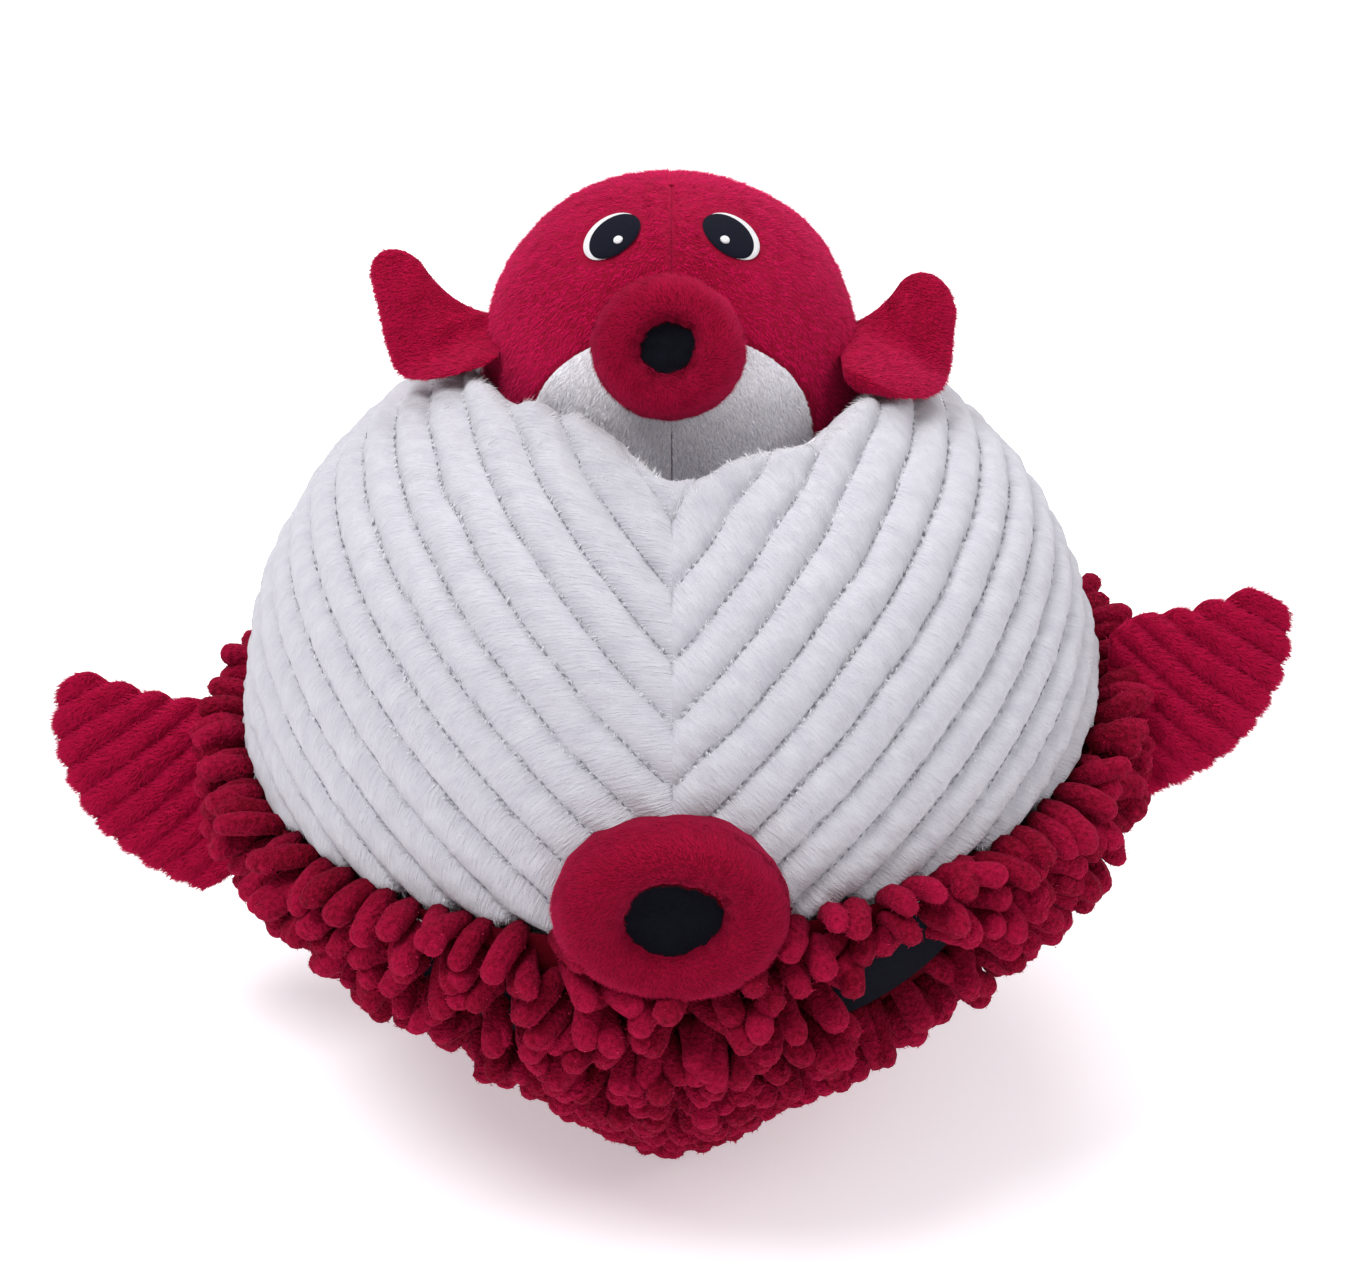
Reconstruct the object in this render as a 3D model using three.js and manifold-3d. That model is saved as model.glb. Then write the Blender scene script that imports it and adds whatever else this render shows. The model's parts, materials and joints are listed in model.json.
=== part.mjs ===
// A plush sea creature lying on her back with her baby tucked in the pouch of her belly.
// Millimetres, +Z up. X runs from fin to fin, and both faces look towards -Y.
// The origin ends up on the floor, under the middle of the whole toy.

import * as THREE from 'three';
import { mergeVertices } from 'three/addons/utils/BufferGeometryUtils.js';
import Module from 'manifold-3d';

const wasm = await Module();
wasm.setup();

// ---------------------------------------------------------------- driving dimensions

const GAP = 0.4;                 // room left between pieces that touch
const FULLNESS = 2.12;           // power of the stuffed outline: 2 is an ellipse, more is boxier

// Mother: a stuffed ball, with a ribbed belly above the seam and chenille below it.
const MOTHER = { x: 0, y: 0, z: 126, across: 143, deep: 145, up: 134, down: 128, keel: 0.5, rings: 16, sides: 32 };
const KEEL_Z = [30, 120];         // the keel is narrowest below the first height and ends at the second
const PANEL_THICK = 8;           // belly plush, with its ribs
const CHENILLE_PROUD = 9;        // how far the packed noodles stand outside the belly's surface
const SEAM_Z = 131;              // height of the seam between belly and chenille
const LEAN_DEG = 3;              // she lies with her right-hand side this much higher
const PELLET_TOP_Z = 38;         // top of the bag of pellets in her base

// Pouch: a straight-walled pocket, a circle in plan with a point at the front.
const POUCH_RADIUS = 66;
const POUCH_Y = 28;
const POUCH_POINT_DEG = 48;      // half of the angle between the two sides of the point
const POUCH_FLOOR_Z = 109;
const POUCH_CLOTH = 3;

// Baby: a smaller stuffed egg, standing in the pouch.
const BABY = { x: 0, y: 20, z: 244, across: 61.2, deep: 58.5, up: 61, down: 133, keel: 0, rings: 14, sides: 28 };
const BABY_CLOTH = 3;
const BIB_HALF_WIDTH = 45;       // the baby's white belly patch
const BIB_TOP_Z = 277;
const BIB_BOTTOM_Z = 128;
const BIB_ARCH = 40;             // height of the patch's arched top

// Mouths: a padded ring around a dimple that holds a black felt centre.
const MOTHER_MOUTH = { azimuth: 0, elevation: 6, across: 35, tall: 28, proud: 16, hole: 0.4, cloth: 2 };
const BABY_MOUTH = { azimuth: -1, elevation: 27, across: 23.5, tall: 22, proud: 22, hole: 0.31, cloth: 2 };
const FELT = 1.4;

// Eyes: a black oval with a white crescent round its outer side.
const MOTHER_EYE = { azimuth: 28, elevation: -7.5, across: 25, tall: 15.5, turn: 33, rim: 2.6, thick: 3.2 };
const BABY_EYE = { azimuth: 35, elevation: 60, across: 7.2, tall: 9.6, turn: 10, rim: 2.4, thick: 1.2 };
const GLINT_RADIUS = 1.5;

// Fins: flat padded flaps that swing on the seam at their root.
const MOTHER_FIN = { y: -14, z: 108, rise: 10, slope: 33, thick: 10 };
const BABY_FIN = { y: 17, z: 257, drop: 3, slope: 30, thick: 8 };

const LABEL = { wide: 22, tall: 34, thick: 1.2 };
const BIG = 400;                 // longer than anything that it cuts

// ---------------------------------------------------------------- finishes

const CRIMSON = 0xa8103a;
const DEEP_RED = 0x8a0a2a;
const WHITE = 0xe6e5ea;
const PALE = 0xc9c4d2;
const BLACK = 0x14161e;

const finish = (color, roughness) => new THREE.MeshStandardMaterial({ color, roughness, metalness: 0 });

// ---------------------------------------------------------------- helpers

const radians = THREE.MathUtils.degToRad;
const toy = new THREE.Group();

function toSolid(geometry) {
  const bare = geometry.clone();
  bare.deleteAttribute('normal');
  bare.deleteAttribute('uv');
  const merged = mergeVertices(bare, 1e-4);
  return new wasm.Manifold(new wasm.Mesh({
    numProp: 3,
    vertProperties: merged.attributes.position.array,
    triVerts: new Uint32Array(merged.index.array),
  }));
}

function add(name, solid, color, roughness = 0.9) {
  const cut = solid.getMesh();
  const geometry = new THREE.BufferGeometry();
  geometry.setAttribute('position', new THREE.BufferAttribute(cut.vertProperties, 3));
  geometry.setIndex(new THREE.BufferAttribute(cut.triVerts, 1));
  geometry.computeVertexNormals();
  const mesh = new THREE.Mesh(geometry, finish(color, roughness));
  mesh.name = name;
  toy.add(mesh);
}

// The share of its width that a body keeps at a height. Its underside is drawn in towards a keel.
function widthLeft(body, z) {
  return 1 - body.keel * (1 - THREE.MathUtils.smoothstep(z, ...KEEL_Z));
}

// The stuffed outline of a body, grown outwards by offset.
function stuffed(body, offset) {
  const ball = new THREE.SphereGeometry(1, body.sides, body.rings).rotateX(Math.PI / 2);
  const place = ball.attributes.position;
  for (let i = 0; i < place.count; i += 1) {
    const [x, y, z] = [place.getX(i), place.getY(i), place.getZ(i)];
    const reach = (Math.hypot(x, y) ** FULLNESS + Math.abs(z) ** FULLNESS) ** (-1 / FULLNESS);
    const tall = z > 0 ? body.up : body.down;
    const height = body.z + z * reach * (tall + offset);
    place.setXYZ(
      i,
      body.x + x * reach * (body.across + offset) * widthLeft(body, height),
      body.y + y * reach * (body.deep + offset),
      height,
    );
  }
  return toSolid(ball);
}

const shell = (body, outer, inner) => stuffed(body, outer).subtract(stuffed(body, inner));

// Unit vector from a body's middle: azimuth 0 is the front, and grows towards +X.
function towards(azimuth, elevation) {
  const [a, e] = [radians(azimuth), radians(elevation)];
  return new THREE.Vector3(Math.sin(a) * Math.cos(e), -Math.cos(a) * Math.cos(e), Math.sin(e));
}

// A frame at a body's middle whose Z looks along the given direction and whose Y points up.
function facing(body, azimuth, elevation) {
  const out = towards(azimuth, elevation);
  const across = new THREE.Vector3(0, 0, 1).cross(out).normalize();
  const up = out.clone().cross(across);
  return new THREE.Matrix4().makeBasis(across, up, out).setPosition(body.x, body.y, body.z);
}

// A prism of the shape that runs outwards from a body's middle.
function prism(shape, matrix, from, to) {
  const bar = new THREE.ExtrudeGeometry(shape, { depth: to - from, bevelEnabled: false, curveSegments: 10 });
  return toSolid(bar.translate(0, 0, from).applyMatrix4(matrix));
}

function oval(across, tall, turn = 0, x = 0, y = 0) {
  const shape = new THREE.Shape();
  shape.absellipse(x, y, across, tall, 0, 2 * Math.PI, false, radians(turn));
  return shape;
}

// Everything above (side 1) or below (side -1) a level plane at the given height.
function halfSpace(side, height, lean = 0) {
  const block = new THREE.BoxGeometry(BIG, BIG, BIG).translate(0, 0, side * BIG / 2);
  return toSolid(block.rotateY(-radians(lean)).translate(0, 0, height));
}

// Everything on one side of the middle, side 1 being +X.
function halfAcross(side) {
  return toSolid(new THREE.BoxGeometry(BIG, BIG, BIG).translate(side * (BIG / 2 + GAP / 2), 0, BIG / 2));
}

const SIDES = [['left', -1], ['right', 1]];

// ---------------------------------------------------------------- mother: pouch

// The pouch in plan, grown outwards by grow: a circle and the two tangents that meet at its point.
function pouchOutline(grow) {
  const radius = POUCH_RADIUS + grow;
  const half = radians(POUCH_POINT_DEG);
  const outline = new THREE.Shape();
  outline.moveTo(0, POUCH_Y - radius / Math.sin(half));
  outline.lineTo(radius * Math.cos(half), POUCH_Y - radius * Math.sin(half));
  outline.absarc(0, POUCH_Y, radius, -half, Math.PI + half, false);
  outline.closePath();
  return outline;
}

const pouchWell = (grow, floor) => prism(pouchOutline(grow), new THREE.Matrix4(), floor, BIG);

add(
  'pouch_lining',
  pouchWell(POUCH_CLOTH, POUCH_FLOOR_Z - POUCH_CLOTH)
    .subtract(pouchWell(0, POUCH_FLOOR_Z))
    .intersect(stuffed(MOTHER, 0)),
  WHITE,
);

const pouchRoom = pouchWell(POUCH_CLOTH + GAP, POUCH_FLOOR_Z - POUCH_CLOTH - GAP);

// ---------------------------------------------------------------- mother: belly and stuffing

const belly = shell(MOTHER, 0, -PANEL_THICK)
  .intersect(halfSpace(1, SEAM_Z + GAP / 2, LEAN_DEG))
  .subtract(pouchRoom);

for (const [side, sign] of SIDES) {
  add(`belly_panel_${side}`, belly.intersect(halfAcross(sign)), WHITE);
}

const inside = stuffed(MOTHER, -PANEL_THICK - GAP);
add('body_filling', inside.intersect(halfSpace(1, PELLET_TOP_Z + GAP)).subtract(pouchRoom), WHITE);
add('base_pellet_bag', inside.intersect(halfSpace(-1, PELLET_TOP_Z)), PALE);

// ---------------------------------------------------------------- mouths

// One padded ring about its own Z axis: the fabric's outer face at depth 0, or its inside at more.
function mouthProfile(mouth, depth, rootZ) {
  const rim = mouth.tall - depth;
  const crown = mouth.proud - depth;
  const hole = mouth.tall * mouth.hole + depth;
  const bend = (rim - hole) / 2;
  const points = [new THREE.Vector2(rim, rootZ), new THREE.Vector2(rim, crown - bend)];
  for (let step = 1; step < 6; step += 1) {
    const turn = (Math.PI * step) / 6;
    points.push(new THREE.Vector2(hole + bend + bend * Math.cos(turn), crown - bend + bend * Math.sin(turn)));
  }
  points.push(new THREE.Vector2(hole, crown - bend));
  points.push(new THREE.Vector2(0, crown - bend));
  return points;
}

function mouthLathe(body, mouth, points) {
  const ring = new THREE.LatheGeometry(points, 24).rotateX(Math.PI / 2);
  ring.scale(mouth.across / mouth.tall, 1, 1);
  ring.translate(0, 0, body.deep);
  return toSolid(ring.applyMatrix4(facing(body, mouth.azimuth, mouth.elevation)));
}

function addMouth(prefix, body, mouth) {
  const rootZ = -0.4 * body.deep;
  const skin = mouthProfile(mouth, 0, rootZ);
  const inner = mouthProfile(mouth, mouth.cloth, rootZ);
  const core = mouthProfile(mouth, mouth.cloth + GAP, rootZ);
  const closed = (points) => mouthLathe(body, mouth, [new THREE.Vector2(0, rootZ), ...points]);
  const clear = stuffed(body, GAP);
  add(`${prefix}mouth_cover`, closed(skin).subtract(closed(inner)).subtract(clear), CRIMSON);
  add(`${prefix}mouth_filling`, closed(core).subtract(clear), WHITE);
  const dimple = body.deep + mouth.proud - (mouth.tall * (1 - mouth.hole)) / 2;
  const size = mouth.hole - GAP / mouth.tall;
  const felt = oval(mouth.across * size, mouth.tall * size);
  const matrix = facing(body, mouth.azimuth, mouth.elevation);
  add(`${prefix}mouth_centre`, prism(felt, matrix, dimple + GAP, dimple + GAP + FELT), BLACK);
}

addMouth('', MOTHER, MOTHER_MOUTH);
addMouth('baby_', BABY, BABY_MOUTH);

// ---------------------------------------------------------------- eyes

// The outer oval, the black oval inside it, and the frame that both are cut along.
function eyeShapes(body, eye, sign) {
  const matrix = facing(body, sign * eye.azimuth, eye.elevation);
  const turn = sign * eye.turn;
  const rim = oval(eye.across + eye.rim, eye.tall + eye.rim, turn, sign * eye.rim * 0.6, eye.rim * 0.4);
  const pupil = (grow) => oval(eye.across + grow, eye.tall + grow, turn);
  return { matrix, rim, pupil };
}

function addEye(prefix, body, eye, side, sign) {
  const { matrix, rim, pupil } = eyeShapes(body, eye, sign);
  const layer = shell(body, GAP + eye.thick, GAP);
  const black = layer.intersect(prism(pupil(0), matrix, 0, BIG));
  const white = layer.intersect(prism(rim, matrix, 0, BIG)).subtract(prism(pupil(GAP), matrix, 0, BIG));
  add(`${prefix}eye_black_${side}`, black, BLACK);
  add(`${prefix}eye_white_${side}`, white, WHITE);
}

// The white fleck stitched on top of the baby's black oval, on its lower inner side.
function addGlint(side, sign) {
  const matrix = facing(BABY, sign * BABY_EYE.azimuth, BABY_EYE.elevation);
  const fleck = oval(GLINT_RADIUS, GLINT_RADIUS, 0, -sign * GLINT_RADIUS, -2 * GLINT_RADIUS);
  const foot = 2 * GAP + BABY_EYE.thick;
  add(`baby_eye_glint_${side}`, shell(BABY, foot + 1, foot).intersect(prism(fleck, matrix, 0, BIG)), WHITE);
}

const motherEye = (sign) => ({ ...MOTHER_EYE, elevation: MOTHER_EYE.elevation + sign * LEAN_DEG / 2 });

for (const [side, sign] of SIDES) {
  addEye('', MOTHER, motherEye(sign), side, sign);
  addEye('baby_', BABY, BABY_EYE, side, sign);
  addGlint(side, sign);
}

// ---------------------------------------------------------------- mother: chenille back

// The chenille has no noodles under the mouth and the eyes, so it is hollowed there.
function faceRoom() {
  const mouthFrame = facing(MOTHER, MOTHER_MOUTH.azimuth, MOTHER_MOUTH.elevation);
  const mouthRoom = oval(MOTHER_MOUTH.across + GAP * 2, MOTHER_MOUTH.tall + GAP * 2);
  let room = prism(mouthRoom, mouthFrame, 0, BIG);
  for (const [, sign] of SIDES) {
    const eye = motherEye(sign);
    const grown = { ...eye, across: eye.across + GAP * 2, tall: eye.tall + GAP * 2 };
    const { matrix, rim, pupil } = eyeShapes(MOTHER, grown, sign);
    room = room.add(prism(rim, matrix, 0, BIG)).add(prism(pupil(0), matrix, 0, BIG));
  }
  return room.subtract(stuffed(MOTHER, 0));
}

add(
  'chenille_back',
  shell(MOTHER, CHENILLE_PROUD, -PANEL_THICK)
    .intersect(halfSpace(-1, SEAM_Z - GAP / 2, LEAN_DEG))
    .intersect(halfSpace(1, 0))
    .subtract(faceRoom()),
  DEEP_RED,
);

const label = new THREE.BoxGeometry(LABEL.wide, LABEL.thick, LABEL.tall);
label.translate(0, MOTHER.deep + CHENILLE_PROUD + LABEL.thick, SEAM_Z - LABEL.tall / 2);
add('care_label', toSolid(label), WHITE);

// ---------------------------------------------------------------- fins

// A leaf with a straight upper edge and a full lower one. The root is on x = 0.
function leafOutline(sign) {
  const leaf = new THREE.Shape();
  leaf.moveTo(0, -32);
  leaf.quadraticCurveTo(sign * 36, -20, sign * 47, 10);
  leaf.bezierCurveTo(sign * 54, 28, sign * 50, 44, sign * 36, 41);
  leaf.quadraticCurveTo(sign * 16, 34, 0, 32);
  leaf.closePath();
  return leaf;
}

// A mitten with a narrow root and a raised tip. The root is on x = 0.
function mittenOutline(sign) {
  const mitten = new THREE.Shape();
  mitten.moveTo(0, -7);
  mitten.quadraticCurveTo(sign * 12, -12, sign * 22, -11);
  mitten.bezierCurveTo(sign * 29, -9, sign * 30, 4, sign * 32, 15);
  mitten.bezierCurveTo(sign * 33, 26, sign * 22, 28, sign * 15, 19);
  mitten.quadraticCurveTo(sign * 9, 11, 0, 7);
  mitten.closePath();
  return mitten;
}

// A padded flap: the outline with a rounded edge, and a round root that can turn about x = 0.
function padded(outline, rootLength, thick) {
  const edge = thick * 0.35;
  const flat = new THREE.ExtrudeGeometry(outline, {
    depth: thick - 2 * edge,
    bevelThickness: edge,
    bevelSize: edge,
    bevelOffset: -edge,
    bevelSegments: 2,
    curveSegments: 7,
  });
  flat.translate(0, 0, edge - thick / 2);
  const root = new THREE.CylinderGeometry(thick / 2, thick / 2, rootLength, 12);
  return toSolid(flat).add(toSolid(root));
}

// The flap is cut into layers, and each layer is moved to the flap's place on the toy.
function addLayers(flap, matrix, layers) {
  for (const [name, low, high, color] of layers) {
    const slab = toSolid(new THREE.BoxGeometry(BIG, BIG, high - low).translate(0, 0, (low + high) / 2));
    add(name, flap.intersect(slab).transform(matrix.elements), color);
  }
}

// X across, Y up the slope of the flap, Z out of its front face.
function flapFrame(x, y, z, slope) {
  const s = radians(slope);
  const across = new THREE.Vector3(1, 0, 0);
  const along = new THREE.Vector3(0, Math.sin(s), Math.cos(s));
  return new THREE.Matrix4().makeBasis(across, along, across.clone().cross(along)).setPosition(x, y, z);
}

for (const [side, sign] of SIDES) {
  const half = MOTHER_FIN.thick / 2;
  const reach = MOTHER.across + CHENILLE_PROUD + half + 4 * GAP;
  const z = MOTHER_FIN.z + sign * reach * Math.sin(radians(LEAN_DEG)) + (sign > 0 ? MOTHER_FIN.rise : 0);
  const fin = padded(leafOutline(sign), 62, MOTHER_FIN.thick);
  addLayers(fin, flapFrame(sign * reach, MOTHER_FIN.y, z, MOTHER_FIN.slope), [
    [`fin_${side}_lower`, -half, -half * 0.36, CRIMSON],
    [`fin_${side}_filling`, GAP - half * 0.36, half * 0.36 - GAP, WHITE],
    [`fin_${side}_upper`, half * 0.36, half, CRIMSON],
  ]);
}

for (const [side, sign] of SIDES) {
  const half = BABY_FIN.thick / 2;
  const x = sign * (BABY.across + half + 2 * GAP);
  const z = BABY_FIN.z - (sign > 0 ? BABY_FIN.drop : 0);
  const fin = padded(mittenOutline(sign), 14, BABY_FIN.thick);
  addLayers(fin, flapFrame(x, BABY_FIN.y, z, BABY_FIN.slope), [
    [`baby_fin_${side}_back`, -half, -GAP / 2, CRIMSON],
    [`baby_fin_${side}_front`, GAP / 2, half, CRIMSON],
  ]);
}

// ---------------------------------------------------------------- baby: body

// The white patch as seen from the front, grown by grow: straight sides under an arched top.
function bibOutline(grow) {
  const half = BIB_HALF_WIDTH + grow;
  const bib = new THREE.Shape();
  const spring = BIB_TOP_Z - BIB_ARCH;
  bib.moveTo(-half, BIB_BOTTOM_Z - grow);
  bib.lineTo(half, BIB_BOTTOM_Z - grow);
  bib.lineTo(half, spring);
  bib.absellipse(0, spring, half, BIB_ARCH + grow, 0, Math.PI, false, 0);
  bib.closePath();
  return bib;
}

// A prism of the bib, from the baby's middle plane forwards.
function bibPrism(grow) {
  const forward = new THREE.Matrix4().makeRotationX(Math.PI / 2).setPosition(BABY.x, BABY.y, 0);
  return prism(bibOutline(grow), forward, 0, BIG / 2);
}

const babySkin = shell(BABY, 0, -BABY_CLOTH);
const babyBib = babySkin.intersect(bibPrism(0));
const babyCoat = babySkin.subtract(bibPrism(GAP));

for (const [side, sign] of SIDES) {
  add(`baby_body_${side}`, babyCoat.intersect(halfAcross(sign)), CRIMSON);
  add(`baby_belly_${side}`, babyBib.intersect(halfAcross(sign)), PALE);
}
add('baby_filling', stuffed(BABY, -BABY_CLOTH - GAP), WHITE);

// ---------------------------------------------------------------- origin

const bounds = new THREE.Box3().setFromObject(toy);
toy.position.set(-(bounds.min.x + bounds.max.x) / 2, -(bounds.min.y + bounds.max.y) / 2, -bounds.min.z);

export default toy;
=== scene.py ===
# %% [markdown]
# # A plush mother with her baby in the pouch
# The CAD model gives every piece its place. This lesson gives each one the look of sewn and stuffed cloth.
# Everything is in metres. X runs from fin to fin, and both faces look towards -Y.

import json

import bmesh
import bpy
import numpy as np
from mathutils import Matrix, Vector


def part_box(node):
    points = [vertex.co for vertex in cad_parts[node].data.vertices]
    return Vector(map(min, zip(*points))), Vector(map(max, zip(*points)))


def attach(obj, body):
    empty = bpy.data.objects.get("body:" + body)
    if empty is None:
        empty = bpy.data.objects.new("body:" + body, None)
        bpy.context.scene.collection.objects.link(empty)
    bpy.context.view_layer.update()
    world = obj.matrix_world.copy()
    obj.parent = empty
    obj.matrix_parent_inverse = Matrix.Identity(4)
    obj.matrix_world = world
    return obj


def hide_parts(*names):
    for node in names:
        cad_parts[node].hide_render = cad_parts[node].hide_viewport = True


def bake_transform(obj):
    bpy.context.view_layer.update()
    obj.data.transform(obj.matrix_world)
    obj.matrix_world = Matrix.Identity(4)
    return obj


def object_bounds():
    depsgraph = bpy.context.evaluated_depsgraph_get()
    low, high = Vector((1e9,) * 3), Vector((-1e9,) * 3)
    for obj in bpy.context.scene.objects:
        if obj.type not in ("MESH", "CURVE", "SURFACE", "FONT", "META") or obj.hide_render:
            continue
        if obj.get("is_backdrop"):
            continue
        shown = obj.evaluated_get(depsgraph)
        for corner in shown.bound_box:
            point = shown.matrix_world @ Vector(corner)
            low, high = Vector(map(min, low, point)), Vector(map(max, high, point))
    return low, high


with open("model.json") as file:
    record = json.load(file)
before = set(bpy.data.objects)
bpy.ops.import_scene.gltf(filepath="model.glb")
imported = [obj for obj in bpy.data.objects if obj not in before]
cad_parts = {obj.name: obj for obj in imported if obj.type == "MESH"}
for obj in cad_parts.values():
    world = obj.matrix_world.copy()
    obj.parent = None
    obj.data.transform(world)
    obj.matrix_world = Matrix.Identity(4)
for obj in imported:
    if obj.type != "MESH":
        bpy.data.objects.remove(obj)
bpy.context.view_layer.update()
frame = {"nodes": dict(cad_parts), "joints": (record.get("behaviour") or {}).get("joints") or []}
MM = 0.001
SHARP = np.radians(70)
WELD = 0.002 * MM
SIDES = (("left", -1), ("right", 1))


# %% [markdown]
# ## Meshes from arrays
# A closed piece is a closed outline carried along a path. Both are arrays, so one function makes the mesh of
# a belly panel, a padded ring or a leaf-shaped fin. Corners that fall on one point, as at a pole, are welded.


# %% Small helpers on arrays
def unit(vectors):
    """Each vector divided by its length."""
    return vectors / np.maximum(np.linalg.norm(vectors, axis=-1, keepdims=True), 1e-12)


def stack(*parts):
    """Coordinates joined into vectors, after they are spread to one shape."""
    return np.stack(np.broadcast_arrays(*parts), -1).astype(float)


def laid_flat(ways, normals):
    """The part of each way that lies in the surface, as a unit vector."""
    return unit(ways - (ways * normals).sum(-1, keepdims=True) * normals)


def smooth_step(low, high, values):
    """0 below low, 1 above high, and the cubic 3t^2 - 2t^3 between them."""
    t = np.clip((values - low) / (high - low), 0, 1)
    return t * t * (3 - 2 * t)


def soft_noise(points, size, seed, waves=20):
    """A sum of sine waves of random directions, about size long. It runs from about -1 to 1."""
    rng = np.random.default_rng(seed)
    way = unit(rng.normal(size=(waves, points.shape[-1])))
    way *= 2 * np.pi / (size * rng.uniform(0.75, 1.5, (waves, 1)))
    phase = rng.uniform(0, 2 * np.pi, waves)
    return np.sin(points @ way.T + phase).sum(-1) / np.sqrt(waves)


def grid_normals(points):
    """The cross product of a grid's two directions at each point."""
    return unit(np.cross(np.gradient(points, axis=0), np.gradient(points, axis=1)))


def grid_faces(rows, columns, wrap_rows=False, wrap_columns=False):
    """The four corner numbers of each cell of a grid that is numbered row after row."""
    row = np.arange(rows if wrap_rows else rows - 1)[:, None]
    column = np.arange(columns if wrap_columns else columns - 1)[None, :]
    next_row, next_column = (row + 1) % rows, (column + 1) % columns
    corners = np.broadcast_arrays(
        row * columns + column,
        row * columns + next_column,
        next_row * columns + next_column,
        next_row * columns + column,
    )
    return np.stack(corners, -1).reshape(-1, 4)


# %% Meshes
def make_piece(name, points, faces, finish, uv=None, tone=None, weld=True, normals=None):
    """A mesh object from points and a list of arrays of faces. It sits at the origin, unturned. Welding joins
    corners that fall on one point, and turns every face outwards."""
    points = points.reshape(-1, 3)
    corners = np.concatenate([part.ravel() for part in faces])
    sizes = np.concatenate([np.full(len(part), part.shape[1]) for part in faces])
    mesh = bpy.data.meshes.new(name)
    mesh.vertices.add(len(points))
    mesh.vertices.foreach_set("co", points.ravel())
    mesh.loops.add(len(corners))
    mesh.loops.foreach_set("vertex_index", corners.astype(np.int32))
    mesh.polygons.add(len(sizes))
    mesh.polygons.foreach_set("loop_start", (np.cumsum(sizes) - sizes).astype(np.int32))
    mesh.update(calc_edges=True)
    if uv is not None:
        layer = mesh.uv_layers.new(name="cloth")
        layer.data.foreach_set("uv", uv.reshape(-1, 2)[corners].ravel())
    if tone is not None:
        mesh.attributes.new("tone", "FLOAT", "POINT").data.foreach_set("value", tone.ravel())
    if weld:
        work = bmesh.new()
        work.from_mesh(mesh)
        bmesh.ops.remove_doubles(work, verts=work.verts, dist=WELD)
        bmesh.ops.recalc_face_normals(work, faces=work.faces)
        work.to_mesh(mesh)
        work.free()
    mesh.shade_smooth()
    if weld:
        mesh.set_sharp_from_angle(angle=SHARP)
    if normals is not None:
        mesh.normals_split_custom_set_from_vertices(normals.reshape(-1, 3))
    mesh.materials.append(finish)
    piece = bpy.data.objects.new(name, mesh)
    bpy.context.scene.collection.objects.link(piece)
    print(f"{name}: {len(mesh.vertices)} points, {len(mesh.polygons)} faces")
    return piece


def carried(loops, closed_path=False):
    """The faces of a closed outline, loops[i], carried along a path, with an end face on an open path."""
    steps, around = loops.shape[:2]
    faces = [grid_faces(steps, around, wrap_rows=closed_path, wrap_columns=True)]
    if not closed_path:
        ends = np.arange(around)
        faces.append(np.stack([ends[::-1], ends + (steps - 1) * around]))
    return faces


def hairs(name, roots, outward, lean, length, width, finish):
    """Pile. Each hair is a slim triangle from two root corners to a tip that is a length away along lean.
    Its normal is the cloth's, turned a little towards the tip and a little at random."""
    side = unit(np.cross(outward, lean)) * width / 2
    tips = roots + unit(lean) * length[:, None]
    points = np.stack([roots + side, roots - side, tips], 1)
    faces = [np.arange(points.shape[0] * 3).reshape(-1, 3)]
    normals = unit(outward + 0.2 * unit(lean) + np.random.default_rng(5).normal(0, 0.16, lean.shape))
    return make_piece(name, points, faces, finish, weld=False, normals=np.repeat(normals, 3, axis=0))


def pile(name, surface, outward, combed, count, length, width, finish, seed):
    """Hairs with roots spread evenly over a grid. Combed is the way they lie at each grid point. Hairs that
    grow close together share a turn of their own, so that they form tufts."""
    rng = np.random.default_rng(seed)
    step_a = surface[1:, :-1] - surface[:-1, :-1]
    step_b = surface[:-1, 1:] - surface[:-1, :-1]
    area = np.linalg.norm(np.cross(step_a, step_b), axis=-1)
    share = np.cumsum(area.ravel()) / area.sum()
    cell = np.searchsorted(share, rng.uniform(0, 1, count)).clip(0, area.size - 1)
    row, column = np.divmod(cell, area.shape[1])
    part = rng.uniform(0, 1, (2, count, 1))
    roots = surface[row, column] + part[0] * step_a[row, column] + part[1] * step_b[row, column]
    up = outward[row, column]
    tuft = np.stack([soft_noise(roots, 5 * MM, seed + turn) for turn in range(3)], -1)
    way = unit(combed[row, column] + 0.22 * tuft + 0.25 * rng.normal(size=(count, 3)))
    way = unit(way + up * rng.uniform(0.35, 0.8, (count, 1)))
    way = unit(way + up * np.maximum(0.25 - (way * up).sum(-1), 0)[:, None])
    long = length[row, column] * rng.uniform(0.7, 1.25, count)
    return hairs(name, roots, up, way, long, width, finish)


def finished(piece, body, slot, *nodes, fill=None):
    """What every piece needs: a body to ride on, and the CAD nodes it stands for, which are hidden. The fins'
    pieces get no body. Slot, for its finish, is not used, and fill is not used."""
    if body:
        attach(piece, body)
    if nodes:
        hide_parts(*nodes)
    return piece


def vertex_values(mesh, kind):
    """The places, "co", or the normals, "normal", of a mesh's vertices."""
    values = np.zeros(len(mesh.vertices) * 3)
    mesh.vertices.foreach_get(kind, values)
    return values.reshape(-1, 3)


# %% [markdown]
# ## Finishes
# Shader maths is written as ordinary arithmetic. A Socket wraps one output of a node, and adding or
# multiplying it adds a Math node. Constants such as sheen are set on the shader itself.


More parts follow.
